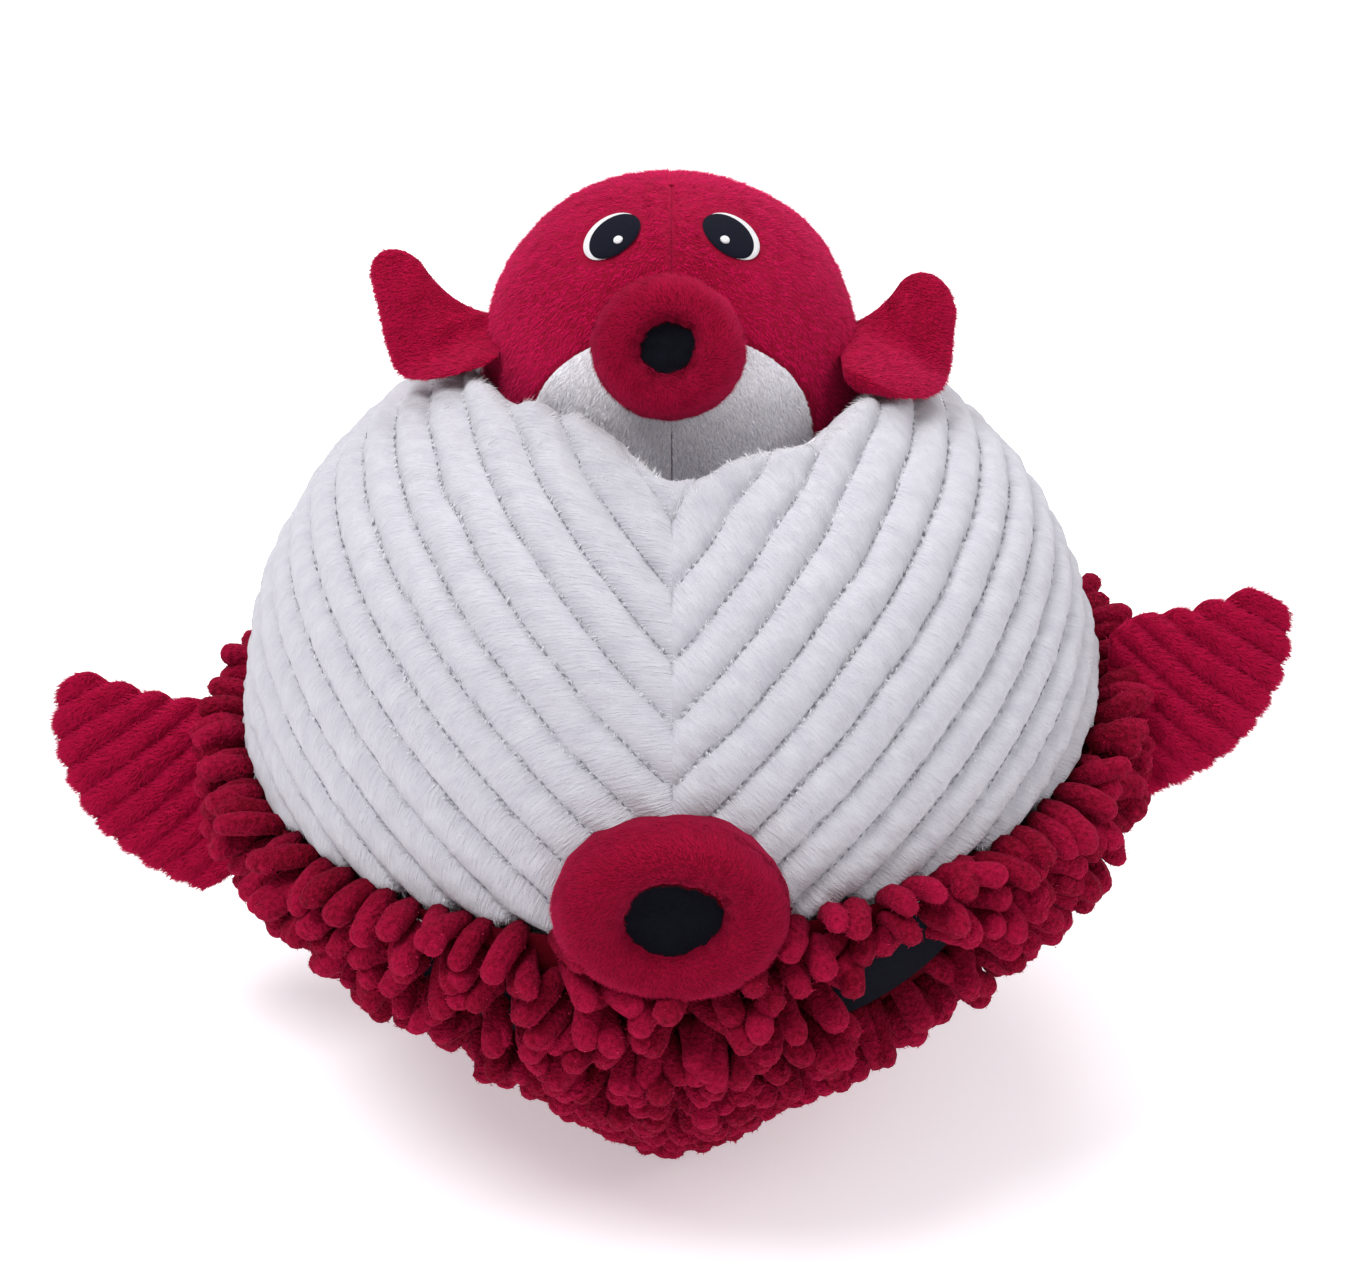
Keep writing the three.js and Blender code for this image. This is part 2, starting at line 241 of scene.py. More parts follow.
# %% Shader arithmetic
class Socket:
    """One output socket. Arithmetic with numbers and other sockets adds Math nodes."""

    def __init__(self, finish, output):
        self.finish = finish
        self.output = output

    def math(self, operation, first, second=0.0):
        return self.finish.node("ShaderNodeMath", {"operation": operation}, {0: first, 1: second})

    def __add__(self, other):
        return self.math("ADD", self, other)

    def __sub__(self, other):
        return self.math("SUBTRACT", self, other)

    def __rsub__(self, other):
        return self.math("SUBTRACT", other, self)

    def __mul__(self, other):
        return self.math("MULTIPLY", self, other)

    __radd__ = __add__
    __rmul__ = __mul__

    def sine(self):
        return self.math("SINE", self)

    def size(self):
        """The value without its sign."""
        return self.math("ABSOLUTE", self)


CLOTH_GLOSS = 0.06


class Finish:
    """A material that is built one node at a time."""

    def __init__(self, name):
        self.material = bpy.data.materials.new(name)
        self.material.use_nodes = True
        self.tree = self.material.node_tree
        self.shader = self.tree.nodes["Principled BSDF"]

    def node(self, kind, settings=None, inputs=None, output=0):
        """Adds a node, sets its settings, fills its sockets with values or links, and returns an output."""
        made = self.tree.nodes.new(kind)
        for setting, value in (settings or {}).items():
            setattr(made, setting, value)
        for socket, value in (inputs or {}).items():
            self.fill(made.inputs[socket], value)
        return Socket(self, made.outputs[output])

    def fill(self, socket, value):
        if isinstance(value, Socket):
            self.tree.links.new(value.output, socket)
        else:
            socket.default_value = value

    def place(self, *scale, uv=False):
        """Where on the surface, in pattern repeats: the object's own coordinates, or the cloth's UV map."""
        kind, output = ("ShaderNodeUVMap", 0) if uv else ("ShaderNodeTexCoord", 3)
        where = self.node(kind, {"uv_map": "cloth"} if uv else None, output=output)
        return self.node("ShaderNodeMapping", None, {"Vector": where, "Scale": scale})

    def noise(self, place, detail=2.0, rough=0.5):
        inputs = {"Vector": place, "Scale": 1.0, "Detail": detail, "Roughness": rough}
        return self.node("ShaderNodeTexNoise", None, inputs)

    def mix(self, factor, first, second):
        """A colour between first, at factor 0, and second, at factor 1."""
        inputs = {0: factor, 6: (*first, 1) if isinstance(first, tuple) else first, 7: (*second, 1)}
        return self.node("ShaderNodeMix", {"data_type": "RGBA"}, inputs, output=2)

    def surface(self, color, rough=0.9, height=None, depth=0.5 * MM, sheen=0.0, tint=(1, 1, 1)):
        """Fills the shader. Height is a relief that is depth metres deep where it is 1."""
        self.fill(self.shader.inputs["Base Color"], (*color, 1) if isinstance(color, tuple) else color)
        self.fill(self.shader.inputs["Roughness"], rough)
        self.shader.inputs["Specular IOR Level"].default_value = CLOTH_GLOSS
        self.shader.inputs["Sheen Weight"].default_value = sheen
        self.shader.inputs["Sheen Tint"].default_value = (*tint, 1)
        if height is not None:
            bump = self.node("ShaderNodeBump", None, {"Height": height, "Distance": depth})
            self.fill(self.shader.inputs["Normal"], bump)
        return self.material


# %% [markdown]
# ### Cloth and thread
# Plush is cut pile. Combed pile shows as streaks, about a millimetre wide and several long, and as broad
# patches where it lies another way. Flat colours would read as plastic. Colours are linear light, so the
# crimson looks darker in numbers than on the toy. The hairs themselves get one even colour each.


# %% Plush, felt, thread and fibre
WHITE = (0.60, 0.595, 0.63)
LILAC = (0.44, 0.43, 0.49)
RED = (0.33, 0.003, 0.030)
DARK_RED = (0.12, 0.001, 0.008)
PINK_RED = (0.43, 0.006, 0.050)
PINK = (1.0, 0.05, 0.20)


def ribbed_plush(name, light, shade, sheen, tint):
    """Combed pile on ribs. UV is in metres, U across the ribs and V along them."""
    made = Finish(name)
    streaks = made.noise(made.place(230, 1000, 1, uv=True), detail=3.0, rough=0.6)
    clumps = made.noise(made.place(90, 170, 1, uv=True), detail=1.0)
    hair = made.noise(made.place(2600, 2600, 2600), detail=1.0)
    color = made.mix(streaks * 0.9 + clumps * 0.7 - 0.3, shade, light)
    height = streaks * 0.8 + clumps * 0.3 + hair * 0.25
    return made.surface(color, 0.95, height, 1.1 * MM, sheen, tint)


def short_plush(name, light, shade, deep, sheen, tint):
    """Short velvety pile: a fine nap, strokes where a hand brushed it, and broad soft patches."""
    made = Finish(name)
    nap = made.noise(made.place(1500, 1500, 1500), detail=3.0, rough=0.65)
    strokes = made.noise(made.place(420, 420, 900), detail=2.0)
    patches = made.noise(made.place(45, 45, 45), detail=1.0)
    color = made.mix(strokes * 0.7 + nap * 0.5 - 0.15, shade, light)
    color = made.mix((patches - 0.45) * 0.9, color, deep)
    return made.surface(color, 0.92, nap * 0.7 + strokes * 0.5, 0.6 * MM, sheen, tint)


def chenille_cloth(name):
    """Looped noodles: a knobbly terry skin. The tone attribute gives each one a random tone of its own and
    paints shade at its root.
    """
    made = Finish(name)
    knobs = made.noise(made.place(620, 620, 620), detail=2.5, rough=0.6)
    tone = made.node("ShaderNodeAttribute", {"attribute_name": "tone"}, output=2)
    color = made.mix(tone * 0.8 + knobs * 1.3 - 0.78, DARK_RED, PINK_RED)
    return made.surface(color, 0.95, knobs, 2.2 * MM, 0.12, PINK)


def felt(name, light, dark):
    """Pressed wool: tangled fibres with no direction."""
    made = Finish(name)
    fibre = made.noise(made.place(1400, 1400, 1400), detail=4.0, rough=0.7)
    return made.surface(made.mix(fibre, dark, light), 0.95, fibre, 0.4 * MM)


def satin_thread(name, light, dark):
    """Threads side by side, 0.4 mm apart along U, each one rounded."""
    made = Finish(name)
    where = made.node("ShaderNodeUVMap", {"uv_map": "cloth"})
    across = made.node("ShaderNodeSeparateXYZ", None, {0: where})
    thread = (across * (np.pi / (0.4 * MM))).sine().size()
    wobble = made.noise(made.place(700, 700, 700), detail=1.0)
    return made.surface(made.mix(thread * 0.8 + wobble * 0.2, dark, light), 0.7, thread, 0.2 * MM)


def fibre_fill(name):
    """Loose white fibre: soft wisps with grey between them."""
    made = Finish(name)
    wisps = made.noise(made.place(180, 180, 320), detail=5.0, rough=0.7)
    return made.surface(made.mix(wisps, (0.6, 0.6, 0.6), (0.88, 0.88, 0.87)), 1.0, wisps, 3 * MM, 0.3)


def woven(name, light, dark, pitch):
    """A plain weave: two sets of threads, a pitch apart, that pass over and under each other."""
    made = Finish(name)
    where = made.place(np.pi / pitch, np.pi / pitch, np.pi / pitch)
    split = made.node("ShaderNodeSeparateXYZ", None, {0: where})
    along = Socket(made, split.output.node.outputs[2])
    threads = (split.sine() * along.sine()).size()
    return made.surface(made.mix(threads, dark, light), 0.85, threads, 0.2 * MM, 0.1)


def plain_pile(name, color, sheen, tint):
    """Hairs are too thin to hold a pattern, so theirs is one even colour."""
    return Finish(name).surface(color, 0.95, None, 0.0, sheen, tint)


BELLY_PLUSH = ribbed_plush("white ribbed plush", WHITE, LILAC, 0.25, (1, 1, 1))
FIN_PLUSH = ribbed_plush("crimson ribbed plush", RED, DARK_RED, 0.4, PINK)
RED_PLUSH = short_plush("crimson short plush", RED, DARK_RED, PINK_RED, 0.6, PINK)
# Painted shade: a darker copy of the crimson plush and its pile, for the mouth rings.
SHADED_RED_PLUSH = short_plush(
    "deep crimson short plush", (0.25, 0.002, 0.022), (0.09, 0.001, 0.006), (0.30, 0.004, 0.034), 0.4, PINK
)
SHADED_RED_PILE = plain_pile("deep crimson pile", (0.30, 0.003, 0.030), 0.3, PINK)
# Painted light: the bib's white plush is lighter than the belly's, to lift the shade under the baby's mouth.
LIT_BIB_PLUSH = short_plush(
    "white short plush", (0.80, 0.78, 0.84), (0.62, 0.60, 0.67), (0.72, 0.70, 0.77), 0.2, (1, 1, 1)
)
CHENILLE = chenille_cloth("crimson chenille")
BACKING = felt("dark red backing", DARK_RED, (0.09, 0.001, 0.006))
BLACK_FELT = felt("black felt", (0.008, 0.009, 0.015), (0.002, 0.002, 0.004))
WHITE_FELT = felt("white felt", (0.86, 0.86, 0.88), (0.66, 0.66, 0.70))
BLACK_THREAD = satin_thread("black satin stitch", (0.010, 0.012, 0.024), (0.003, 0.003, 0.006))
WHITE_THREAD = satin_thread("white satin stitch", (0.92, 0.92, 0.93), (0.6, 0.6, 0.63))
GREY_THREAD = satin_thread("grey sewing thread", (0.33, 0.33, 0.37), (0.20, 0.20, 0.23))
STUFFING = fibre_fill("polyester fibre")
COTTON = woven("pellet bag cotton", (0.8, 0.78, 0.73), (0.55, 0.53, 0.49), 0.7 * MM)
RIBBON = woven("label ribbon", (0.88, 0.88, 0.87), (0.7, 0.7, 0.69), 0.35 * MM)
WHITE_PILE = plain_pile("white pile", (0.70, 0.695, 0.725), 0.2, (1, 1, 1))
# Painted light: the bib's pile is lighter than the belly's, to lift the shade under the baby's mouth.
LIT_BIB_PILE = plain_pile("pale lilac pile", (0.95, 0.94, 0.97), 0.2, (1, 1, 1))
RED_PILE = plain_pile("crimson pile", (0.42, 0.004, 0.044), 0.6, PINK)
# Painted light: a lighter copy of the crimson pile for the baby's coat, for the light on the top of her head.
LIT_BABY_PILE = plain_pile("bright crimson pile", (0.56, 0.005, 0.074), 0.6, PINK)

# %% [markdown]
# ## The stuffed ball
# Mother and baby are stuffed balls, a little fuller than an ellipsoid. A point is found by the direction in
# which it lies from the middle. The sizes come from the CAD boxes of the stuffing and the pellet bag.

# %% The stuffed outline
FULLNESS = 2.12


def towards(azimuth, elevation):
    """A unit vector. Azimuth 0 is the front and grows towards +X, and both angles are in degrees."""
    a, e = np.radians(azimuth), np.radians(elevation)
    return stack(np.sin(a) * np.cos(e), -np.cos(a) * np.cos(e), np.sin(e))


KEEL_LOW, KEEL_HIGH = 30 * MM, 120 * MM
SMALL_STEP = 0.1 * MM


class Ball:
    """A stuffed ball. With x, y and z as shares of its radii, hypot(x, y)^p + |z|^p = 1, where p is FULLNESS.
    Below KEEL_HIGH it narrows, and from KEEL_LOW down it keeps only a part of its width, 1 - keel."""

    def __init__(self, middle, across, deep, up, down, keel=0.0):
        self.middle = np.array(middle, float)
        self.across, self.deep, self.up, self.down = across, deep, up, down
        self.keel = keel

    def width_left(self, z):
        return 1 - self.keel * smooth_step(KEEL_HIGH, KEEL_LOW, z)

    def level(self, point):
        """The left side of the formula above. It is less than 1 inside."""
        share = (point - self.middle) / self.radii((point - self.middle)[..., 2], 0.0)
        across = share[..., 0] / self.width_left(point[..., 2])
        return np.hypot(across, share[..., 1]) ** FULLNESS + np.abs(share[..., 2]) ** FULLNESS

    def radii(self, z, out):
        return stack(self.across + out, self.deep + out, np.where(z > 0, self.up, self.down) + out)

    def hit(self, way, out=0.0):
        """Where a ray from the middle along way meets the surface, grown outwards by out."""
        share = way / self.radii(way[..., 2], out)
        level = np.hypot(share[..., 0], share[..., 1]) ** FULLNESS + np.abs(share[..., 2]) ** FULLNESS
        offset = way * (level ** (-1 / FULLNESS))[..., None]
        left = self.width_left(self.middle[2] + offset[..., 2])
        return self.middle + offset * stack(left, 1, 1)

    def at(self, azimuth, elevation, out=0.0):
        way = towards(azimuth, elevation)
        return self.hit(way * self.radii(way[..., 2], out), out)

    def outwards(self, point):
        """The surface's normal: the slope of level, from its values a small step to each side."""
        steps = np.eye(3) * SMALL_STEP
        slope = [self.level(point + step) - self.level(point - step) for step in steps]
        return unit(np.stack(slope, -1))

    def height(self, x, y):
        """The surface's height above a point of the plan."""
        share = np.hypot((x - self.middle[0]) / self.across, (y - self.middle[1]) / self.deep)
        return self.middle[2] + self.up * np.maximum(1 - share**FULLNESS, 0) ** (1 / FULLNESS)

    def facing(self, azimuth, elevation):
        """Unit vectors across, up and out of a piece that faces in a direction."""
        out = towards(azimuth, elevation)
        across = unit(np.cross([0, 0, 1], out))
        return across, np.cross(out, across), out


def bisect(test, low, high, steps=36):
    """The angle between low and high where test turns from negative to positive, for a whole array."""
    for _ in range(steps):
        middle = (low + high) / 2
        past = test(middle) > 0
        low, high = np.where(past, low, middle), np.where(past, middle, high)
    return (low + high) / 2


# %% The two balls
# The mother's ribbed cloth, its pile included, and the baby's thinner cloth lie over the stuffing.
PANEL = 8.4 * MM
BABY_CLOTH = 3.4 * MM
core_low, core_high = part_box("body_filling")
base_low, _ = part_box("base_pellet_bag")
baby_low, baby_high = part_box("baby_filling")
MOTHER_UP, MOTHER_DOWN = 134 * MM, 128 * MM
MOTHER = Ball(
    (0, (core_low.y + core_high.y) / 2, base_low.z - PANEL + MOTHER_DOWN),
    (core_high.x - core_low.x) / 2 + PANEL,
    (core_high.y - core_low.y) / 2 + PANEL,
    MOTHER_UP,
    MOTHER_DOWN,
    keel=0.5,
)
BABY_UP = 61 * MM
BABY_MIDDLE_Z = baby_high.z + BABY_CLOTH - BABY_UP
BABY = Ball(
    (0, (baby_low.y + baby_high.y) / 2, BABY_MIDDLE_Z),
    (baby_high.x - baby_low.x) / 2 + BABY_CLOTH,
    (baby_high.y - baby_low.y) / 2 + BABY_CLOTH,
    BABY_UP,
    BABY_MIDDLE_Z - baby_low.z + BABY_CLOTH,
)
for title, ball in (("mother", MOTHER), ("baby", BABY)):
    print(title, "middle", ball.middle.round(4), "across", round(ball.across, 4), "deep", round(ball.deep, 4))

# %% [markdown]
# ## Camera, light and floor
# The camera looks down at 30 degrees from 1.1 m. A big soft box high on the left is the key light, a weaker
# one fills the right side, and one behind lights the baby's head. The floor is white, glows a little so that
# it stays white in the distance, and runs out of the picture.

# %% Camera
CAMERA_DISTANCE = 1.1
CAMERA_ELEVATION = 30
SENSOR_WIDTH, LENS = 36, 86.1
AIM_ABOVE_MIDDLE, AIM_TO_RIGHT = 24.3 * MM, 3.0 * MM
camera = bpy.data.objects.new("camera", bpy.data.cameras.new("camera"))
bpy.context.scene.collection.objects.link(camera)
camera.data.sensor_width = SENSOR_WIDTH
camera.data.lens = LENS
camera_way = towards(0, CAMERA_ELEVATION)
camera_up = towards(180, 90 - CAMERA_ELEVATION)
camera.location = MOTHER.middle + CAMERA_DISTANCE * camera_way
aim = MOTHER.middle + AIM_ABOVE_MIDDLE * camera_up + np.array([AIM_TO_RIGHT, 0, 0])
camera.rotation_euler = (Vector(aim) - camera.location).to_track_quat("-Z", "Y").to_euler()
bpy.context.scene.camera = camera
bpy.context.scene.view_settings.view_transform = "Standard"


# %% Light and floor
def soft_box(name, place, size, power):
    """A round lamp that faces the mother's middle. Its size is in metres and its power in watts."""
    lamp = bpy.data.lights.new(name, "AREA")
    lamp.shape = "DISK"
    lamp.size = size
    lamp.energy = power
    box = bpy.data.objects.new(name, lamp)
    box.location = place
    box.rotation_euler = (Vector(MOTHER.middle) - box.location).to_track_quat("-Z", "Y").to_euler()
    bpy.context.scene.collection.objects.link(box)


soft_box("key light", (-0.8, -0.55, 1.9), 1.0, 28)
soft_box("fill light", (1.4, -0.4, 1.3), 1.0, 9)
soft_box("back light", (0.1, 1.1, 1.8), 1.2, 18)
world = bpy.data.worlds.new("studio")
world.use_nodes = True
sky = world.node_tree.nodes["Background"].inputs
sky["Color"].default_value = (1.0, 0.985, 1.0, 1)
sky["Strength"].default_value = 0.56
bpy.context.scene.world = world

FLOOR_HALF = 6.0
FLOOR_LINES = 9
FLOOR_DROP = 0.2 * MM
floor_edge = np.linspace(-FLOOR_HALF, FLOOR_HALF, FLOOR_LINES)
floor_points = stack(floor_edge[:, None], floor_edge[None, :], -FLOOR_DROP)
paper = Finish("white floor")
paper.shader.inputs["Emission Color"].default_value = (1.0, 0.95, 1.0, 1)
paper.shader.inputs["Emission Strength"].default_value = 0.38
white_floor = paper.surface((0.93, 0.925, 0.94), 0.9)
floor = make_piece("studio floor", floor_points, [grid_faces(FLOOR_LINES, FLOOR_LINES)], white_floor)
floor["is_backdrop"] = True

# %% [markdown]
# ## The ribbed belly
# The belly is two mirrored panels of plush, stitched into ribs. The stitched lines fan out round a point on
# the far flank, so on each side they are circles of equal angle round one direction, and they meet in V
# shapes on the centre seam. A bump map would leave the outline smooth, so the ribs are real shape.

# %% Where the belly starts and ends
# The seam between belly and back leans by 3 degrees, and is higher at the right fin.
LEAN = np.radians(3)
_, chenille_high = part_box("chenille_back")
SEAM_Z = chenille_high.z - chenille_high.x * np.tan(LEAN)
lining_low, lining_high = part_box("pouch_lining")
POUCH_CLOTH = 3 * MM
POUCH_RADIUS = (lining_high.x - lining_low.x) / 2 - POUCH_CLOTH
POUCH_Y = lining_high.y - POUCH_CLOTH - POUCH_RADIUS
POUCH_FLOOR = lining_low.z + POUCH_CLOTH
POINT_TURN = np.radians(42)
POINT_SOFT = np.radians(3)
DROOPS = ((8, 0, 12), (16, 24, 17), (5, -38, 18), (8, 50, 18))


def pouch_reach(turn, grow=0.0):
    """The plan's radius: a circle, and within POINT_TURN of the front two tangents, with a soft point."""
    return (POUCH_RADIUS + grow) / np.cos(np.maximum(POINT_TURN - np.hypot(turn, POINT_SOFT), 0))


def sag(turn):
    """How far the free edge droops outwards: bell curves of (millimetres, middle and width in degrees)."""
    degrees = np.degrees(turn)
    return sum(high * MM * np.exp(-(((degrees - middle) / wide) ** 2)) for high, middle, wide in DROOPS)


def inside_pouch(point, grow):
    """How far inside the plan of the drooping edge a point is."""
    x, y = point[..., 0], point[..., 1] - POUCH_Y
    turn = np.arctan2(x, -y)
    return pouch_reach(turn, grow + sag(turn)) - np.hypot(x, y)


def above_seam(point):
    """How far a point is above the seam's leaning plane."""
    return point[..., 2] - SEAM_Z - point[..., 0] * np.tan(LEAN)


def seam_elevation(azimuth):
    """The elevation at which the ball meets the seam, and below it the one at which it meets the rim."""
    return bisect(lambda e: above_seam(MOTHER.at(azimuth, e)), azimuth * 0 - 25.0, azimuth * 0 + 40.0)


def rim_elevation(azimuth, grow):
    return bisect(lambda e: inside_pouch(MOTHER.at(azimuth, e), grow), azimuth * 0 + 15.0, azimuth * 0 + 89.0)


# %% The ribs
FAN_AZIMUTH, FAN_ELEVATION = 92, 47
FIRST_GROOVE, RIB_DEGREES = 59.3, 5.517
RIB_WIDTH = MOTHER.across * np.radians(RIB_DEGREES)
RIB_DEPTH = 4.3 * MM
CROWN_LEVEL = 0.9
SCALLOP_DEGREES = 1.6
ROLL_HEIGHT, ROLL_PLACE, ROLL_WIDTH = 2.4 * MM, 7 * MM, 6 * MM
SEAM_DIP, SEAM_WIDTH = 0.2 * MM, 3.0 * MM
EDGE_DROP = 6.5 * MM
HEM_REACH, RIM_REACH = 7 * MM, 6 * MM
CLOTH_INSIDE = -7.5 * MM
WAVE_HEIGHT = 0.5 * MM


def fan(azimuth, elevation, sign):
    """(ribs past the first groove, distance along the rib) of a direction. The angle from the fan's pole
    gives the first, and the turn round the pole gives the second."""
    pole = towards(-sign * FAN_AZIMUTH, FAN_ELEVATION)
    way = towards(azimuth, elevation)
    across = unit(np.cross([0, 0, 1], pole))
    angle = np.arccos(np.clip(way @ pole, -1, 1))
    turn = np.arctan2(way @ np.cross(pole, across), way @ across)
    return (np.degrees(angle) - FIRST_GROOVE) / RIB_DEGREES, turn * MOTHER.across * np.sin(angle)


def rib_height(ribs):
    """1 on a rib's crown and 0 in the groove: about the root of a half sine wave, so grooves are sharp."""
    return np.abs(np.sin(np.pi * ribs)) ** 0.55


def belly_wave(bare):
    """The slow waves of the stuffing, which bend the ribs too."""
    return soft_noise(bare, 34 * MM, 11)


def belly_grid(sign, columns=300, rows=130):
    """Azimuth from front to back, elevation from seam to rim, and the cloth over them. Its height is the
    ribs, which fade at the crumpled rim, soft waves and creases, a rolled rim, a dip along the centre seam,
    and quarter rounds at the seam and the rim. The hem follows the ribs in small scallops."""
    azimuth = sign * np.linspace(0, 180, columns)
    seam, rim = seam_elevation(azimuth), rim_elevation(azimuth, 1.0 * MM)
    edge_ribs, _ = fan(azimuth, seam, sign)
    seam = seam - SCALLOP_DEGREES * rib_height(edge_ribs)
    share = np.linspace(0, 1, rows)
    share = share - 0.06 * np.sin(2 * np.pi * share)
    elevation = seam[:, None] + (rim - seam)[:, None] * share
    azimuth = np.broadcast_to(azimuth[:, None], elevation.shape)
    ribs, along = fan(azimuth, elevation, sign)
    bare = MOTHER.at(azimuth, elevation)
    arc = MOTHER.across * np.radians(elevation - seam[:, None])
    to_rim = MOTHER.across * np.radians(rim[:, None] - elevation)
    wave = belly_wave(bare)
    crumpled = np.exp(-np.maximum(to_rim, 0) / (9 * MM))
    height = RIB_DEPTH * (rib_height(ribs + 0.05 * wave) - CROWN_LEVEL) * (1 - 0.7 * crumpled)
    height += WAVE_HEIGHT * wave + 0.25 * MM * soft_noise(bare, 6 * MM, 12)
    height += 1.6 * MM * crumpled * soft_noise(bare, 15 * MM, 13)
    height += ROLL_HEIGHT * np.exp(-(((to_rim - ROLL_PLACE) / ROLL_WIDTH) ** 2))
    height -= SEAM_DIP * np.exp(-((bare[..., 0] / SEAM_WIDTH) ** 2))
    for edge, reach in ((arc, HEM_REACH), (to_rim, RIM_REACH)):
        near = np.clip(1 - edge / reach, 0, 1)
        height -= EDGE_DROP * (1 - np.sqrt(1 - near**2))
    surface = bare + MOTHER.outwards(bare) * height[..., None]
    return surface, np.stack([ribs * RIB_WIDTH, along], -1), azimuth, elevation


def belly_panel(side, sign):
    """The closed shell: from hem to rim outside, and back inside in fewer rows. Returns its outer grid."""
    surface, uv, azimuth, elevation = belly_grid(sign)
    back_rows = np.linspace(surface.shape[1] - 1, 0, 18).astype(int)
    back = MOTHER.at(azimuth[:, back_rows], elevation[:, back_rows], CLOTH_INSIDE)
    loops = np.concatenate([surface, back], 1)
    loop_uv = np.concatenate([uv, uv[:, back_rows]], 1)
    name = f"belly_panel_{side}_plush"
    piece = make_piece(name, loops, carried(loops), BELLY_PLUSH, uv=loop_uv)
    finished(piece, "mother", "belly_plush", f"belly_panel_{side}", fill=0.8)
    return surface


belly = {sign: belly_panel(side, sign) for side, sign in SIDES}

# %% [markdown]
# ### Pile on the belly
# Hair systems aren't exported, so the pile is a mesh: each hair is one slim triangle that leans across the
# ribs. Longer hairs at the rim and the hem give the plush its soft edge over the baby and the noodles.


# %% Belly pile
FRINGE = 4.2 * MM
BELLY_HAIRS, FRINGE_HAIRS = 80000, 15000


def belly_pile(side, sign, surface):
    """Hairs lie across the ribs, away from the fan's pole, and up at the rim. Grooves have short ones."""
    way = unit(surface - MOTHER.middle)
    outward = grid_normals(surface) * -sign
    pole = towards(-sign * FAN_AZIMUTH, FAN_ELEVATION)
    combed = unit(way * (way @ pole)[..., None] - pole)
    azimuth = np.degrees(np.arctan2(way[..., 0], -way[..., 1]))
    ribs, _ = fan(azimuth, np.degrees(np.arcsin(way[..., 2])), sign)
    rows = np.arange(surface.shape[1])[None, :, None]
    at_rim = smooth_step(surface.shape[1] - 22, surface.shape[1] - 6, rows)
    upwards = unit(np.gradient(surface, axis=1))
    combed = unit(combed * (1 - at_rim) + upwards * at_rim)
    length = (0.9 + 1.4 * rib_height(ribs)) * MM
    seed = 40 + 3 * sign
    parts = (surface, outward, combed)
    piece = pile(f"belly_pile_{side}", *parts, BELLY_HAIRS, length, 0.30 * MM, WHITE_PILE, seed)
    finished(piece, "mother", "belly_plush")
    for edge, rows, way in (("rim", slice(-26, None), upwards), ("hem", slice(0, 9), -upwards)):
        parts = (surface[:, rows], outward[:, rows], way[:, rows], FRINGE_HAIRS)
        long = np.full(surface[:, rows].shape[:2], FRINGE)
        fringe = pile(f"belly_{edge}_pile_{side}", *parts, long, 0.34 * MM, WHITE_PILE, seed + 1)
        finished(fringe, "mother", "belly_plush")


for side, sign in SIDES:
    belly_pile(side, sign, belly[sign])


# %% [markdown]
# ### Stitches in the grooves
# A fine grey thread shows as short dashes at the bottom of each groove. Each dash is a small spindle with
# eight faces.


# %% Groove stitches
def spindles(name, middles, along, outward, length, width, finish):
    """Small spindles. Each one has two end points and a square belt at its middle."""
    side = unit(np.cross(outward, along))
    belt = [side, outward, -side, -outward]
    points = [middles - along * length / 2] + [middles + way * width / 2 for way in belt]
    points = np.stack([*points, middles + along * length / 2], 1)
    face = np.array([[0, 2, 1], [0, 3, 2], [0, 4, 3], [0, 1, 4], [5, 1, 2], [5, 2, 3], [5, 3, 4], [5, 4, 1]])
    faces = (np.arange(len(middles))[:, None, None] * 6 + face).reshape(-1, 3)
    uv = np.tile(np.array([[0, 0], [0, 1], [1, 1], [1, 0], [0, 1], [1, 1]]) * 0.2 * MM, (len(middles), 1))
    return make_piece(name, points, [faces], finish, uv=uv, weld=False)


STITCH_PITCH, STITCH_LONG, STITCH_WIDE = 3.0 * MM, 2.0 * MM, 0.55 * MM
STITCH_RISE = 1.4 * MM
GROOVES = 11


def groove_stitches(side, sign):
    """Points at equal steps along every groove that lies between the seam and the rim."""
    pole = towards(-sign * FAN_AZIMUTH, FAN_ELEVATION)
    across = unit(np.cross([0, 0, 1], pole))
    other = np.cross(pole, across)
    angle = np.radians(FIRST_GROOVE + RIB_DEGREES * np.arange(GROOVES))[:, None]
    steps = int(2 * np.pi * MOTHER.across / STITCH_PITCH)
    turn = np.linspace(0, 2 * np.pi, steps)[None, :]
    way = np.cos(angle)[..., None] * pole + np.sin(angle)[..., None] * (
        np.cos(turn)[..., None] * across + np.sin(turn)[..., None] * other
    )
    elevation = np.degrees(np.arcsin(way[..., 2]))
    azimuth = np.degrees(np.arctan2(way[..., 0], -way[..., 1]))
    bare = MOTHER.at(azimuth, elevation)
    outward = MOTHER.outwards(bare)
    groove = WAVE_HEIGHT * belly_wave(bare) - CROWN_LEVEL * RIB_DEPTH
    place = bare + outward * (groove + STITCH_RISE)[..., None]
    along = unit(np.gradient(place, axis=1))
    kept = (place[..., 0] * sign > 1.5 * MM) & (above_seam(bare) > 9 * MM)
    kept &= inside_pouch(bare, 9 * MM) < 0
    parts = (place[kept], along[kept], outward[kept])
    return spindles(f"groove_stitches_{side}", *parts, STITCH_LONG, STITCH_WIDE, GREY_THREAD)


for side, sign in SIDES:
    finished(groove_stitches(side, sign), "mother", "grey_thread")

# %% [markdown]
# ## The pouch
# The lining is a pocket with straight walls that goes down into the stuffing. It shows when the baby is
# lifted out, so it has soft folds and a rounded top edge.

# %% Pouch lining
LINING_STEPS = 220
LINING_BELOW_RIM = 5.2 * MM


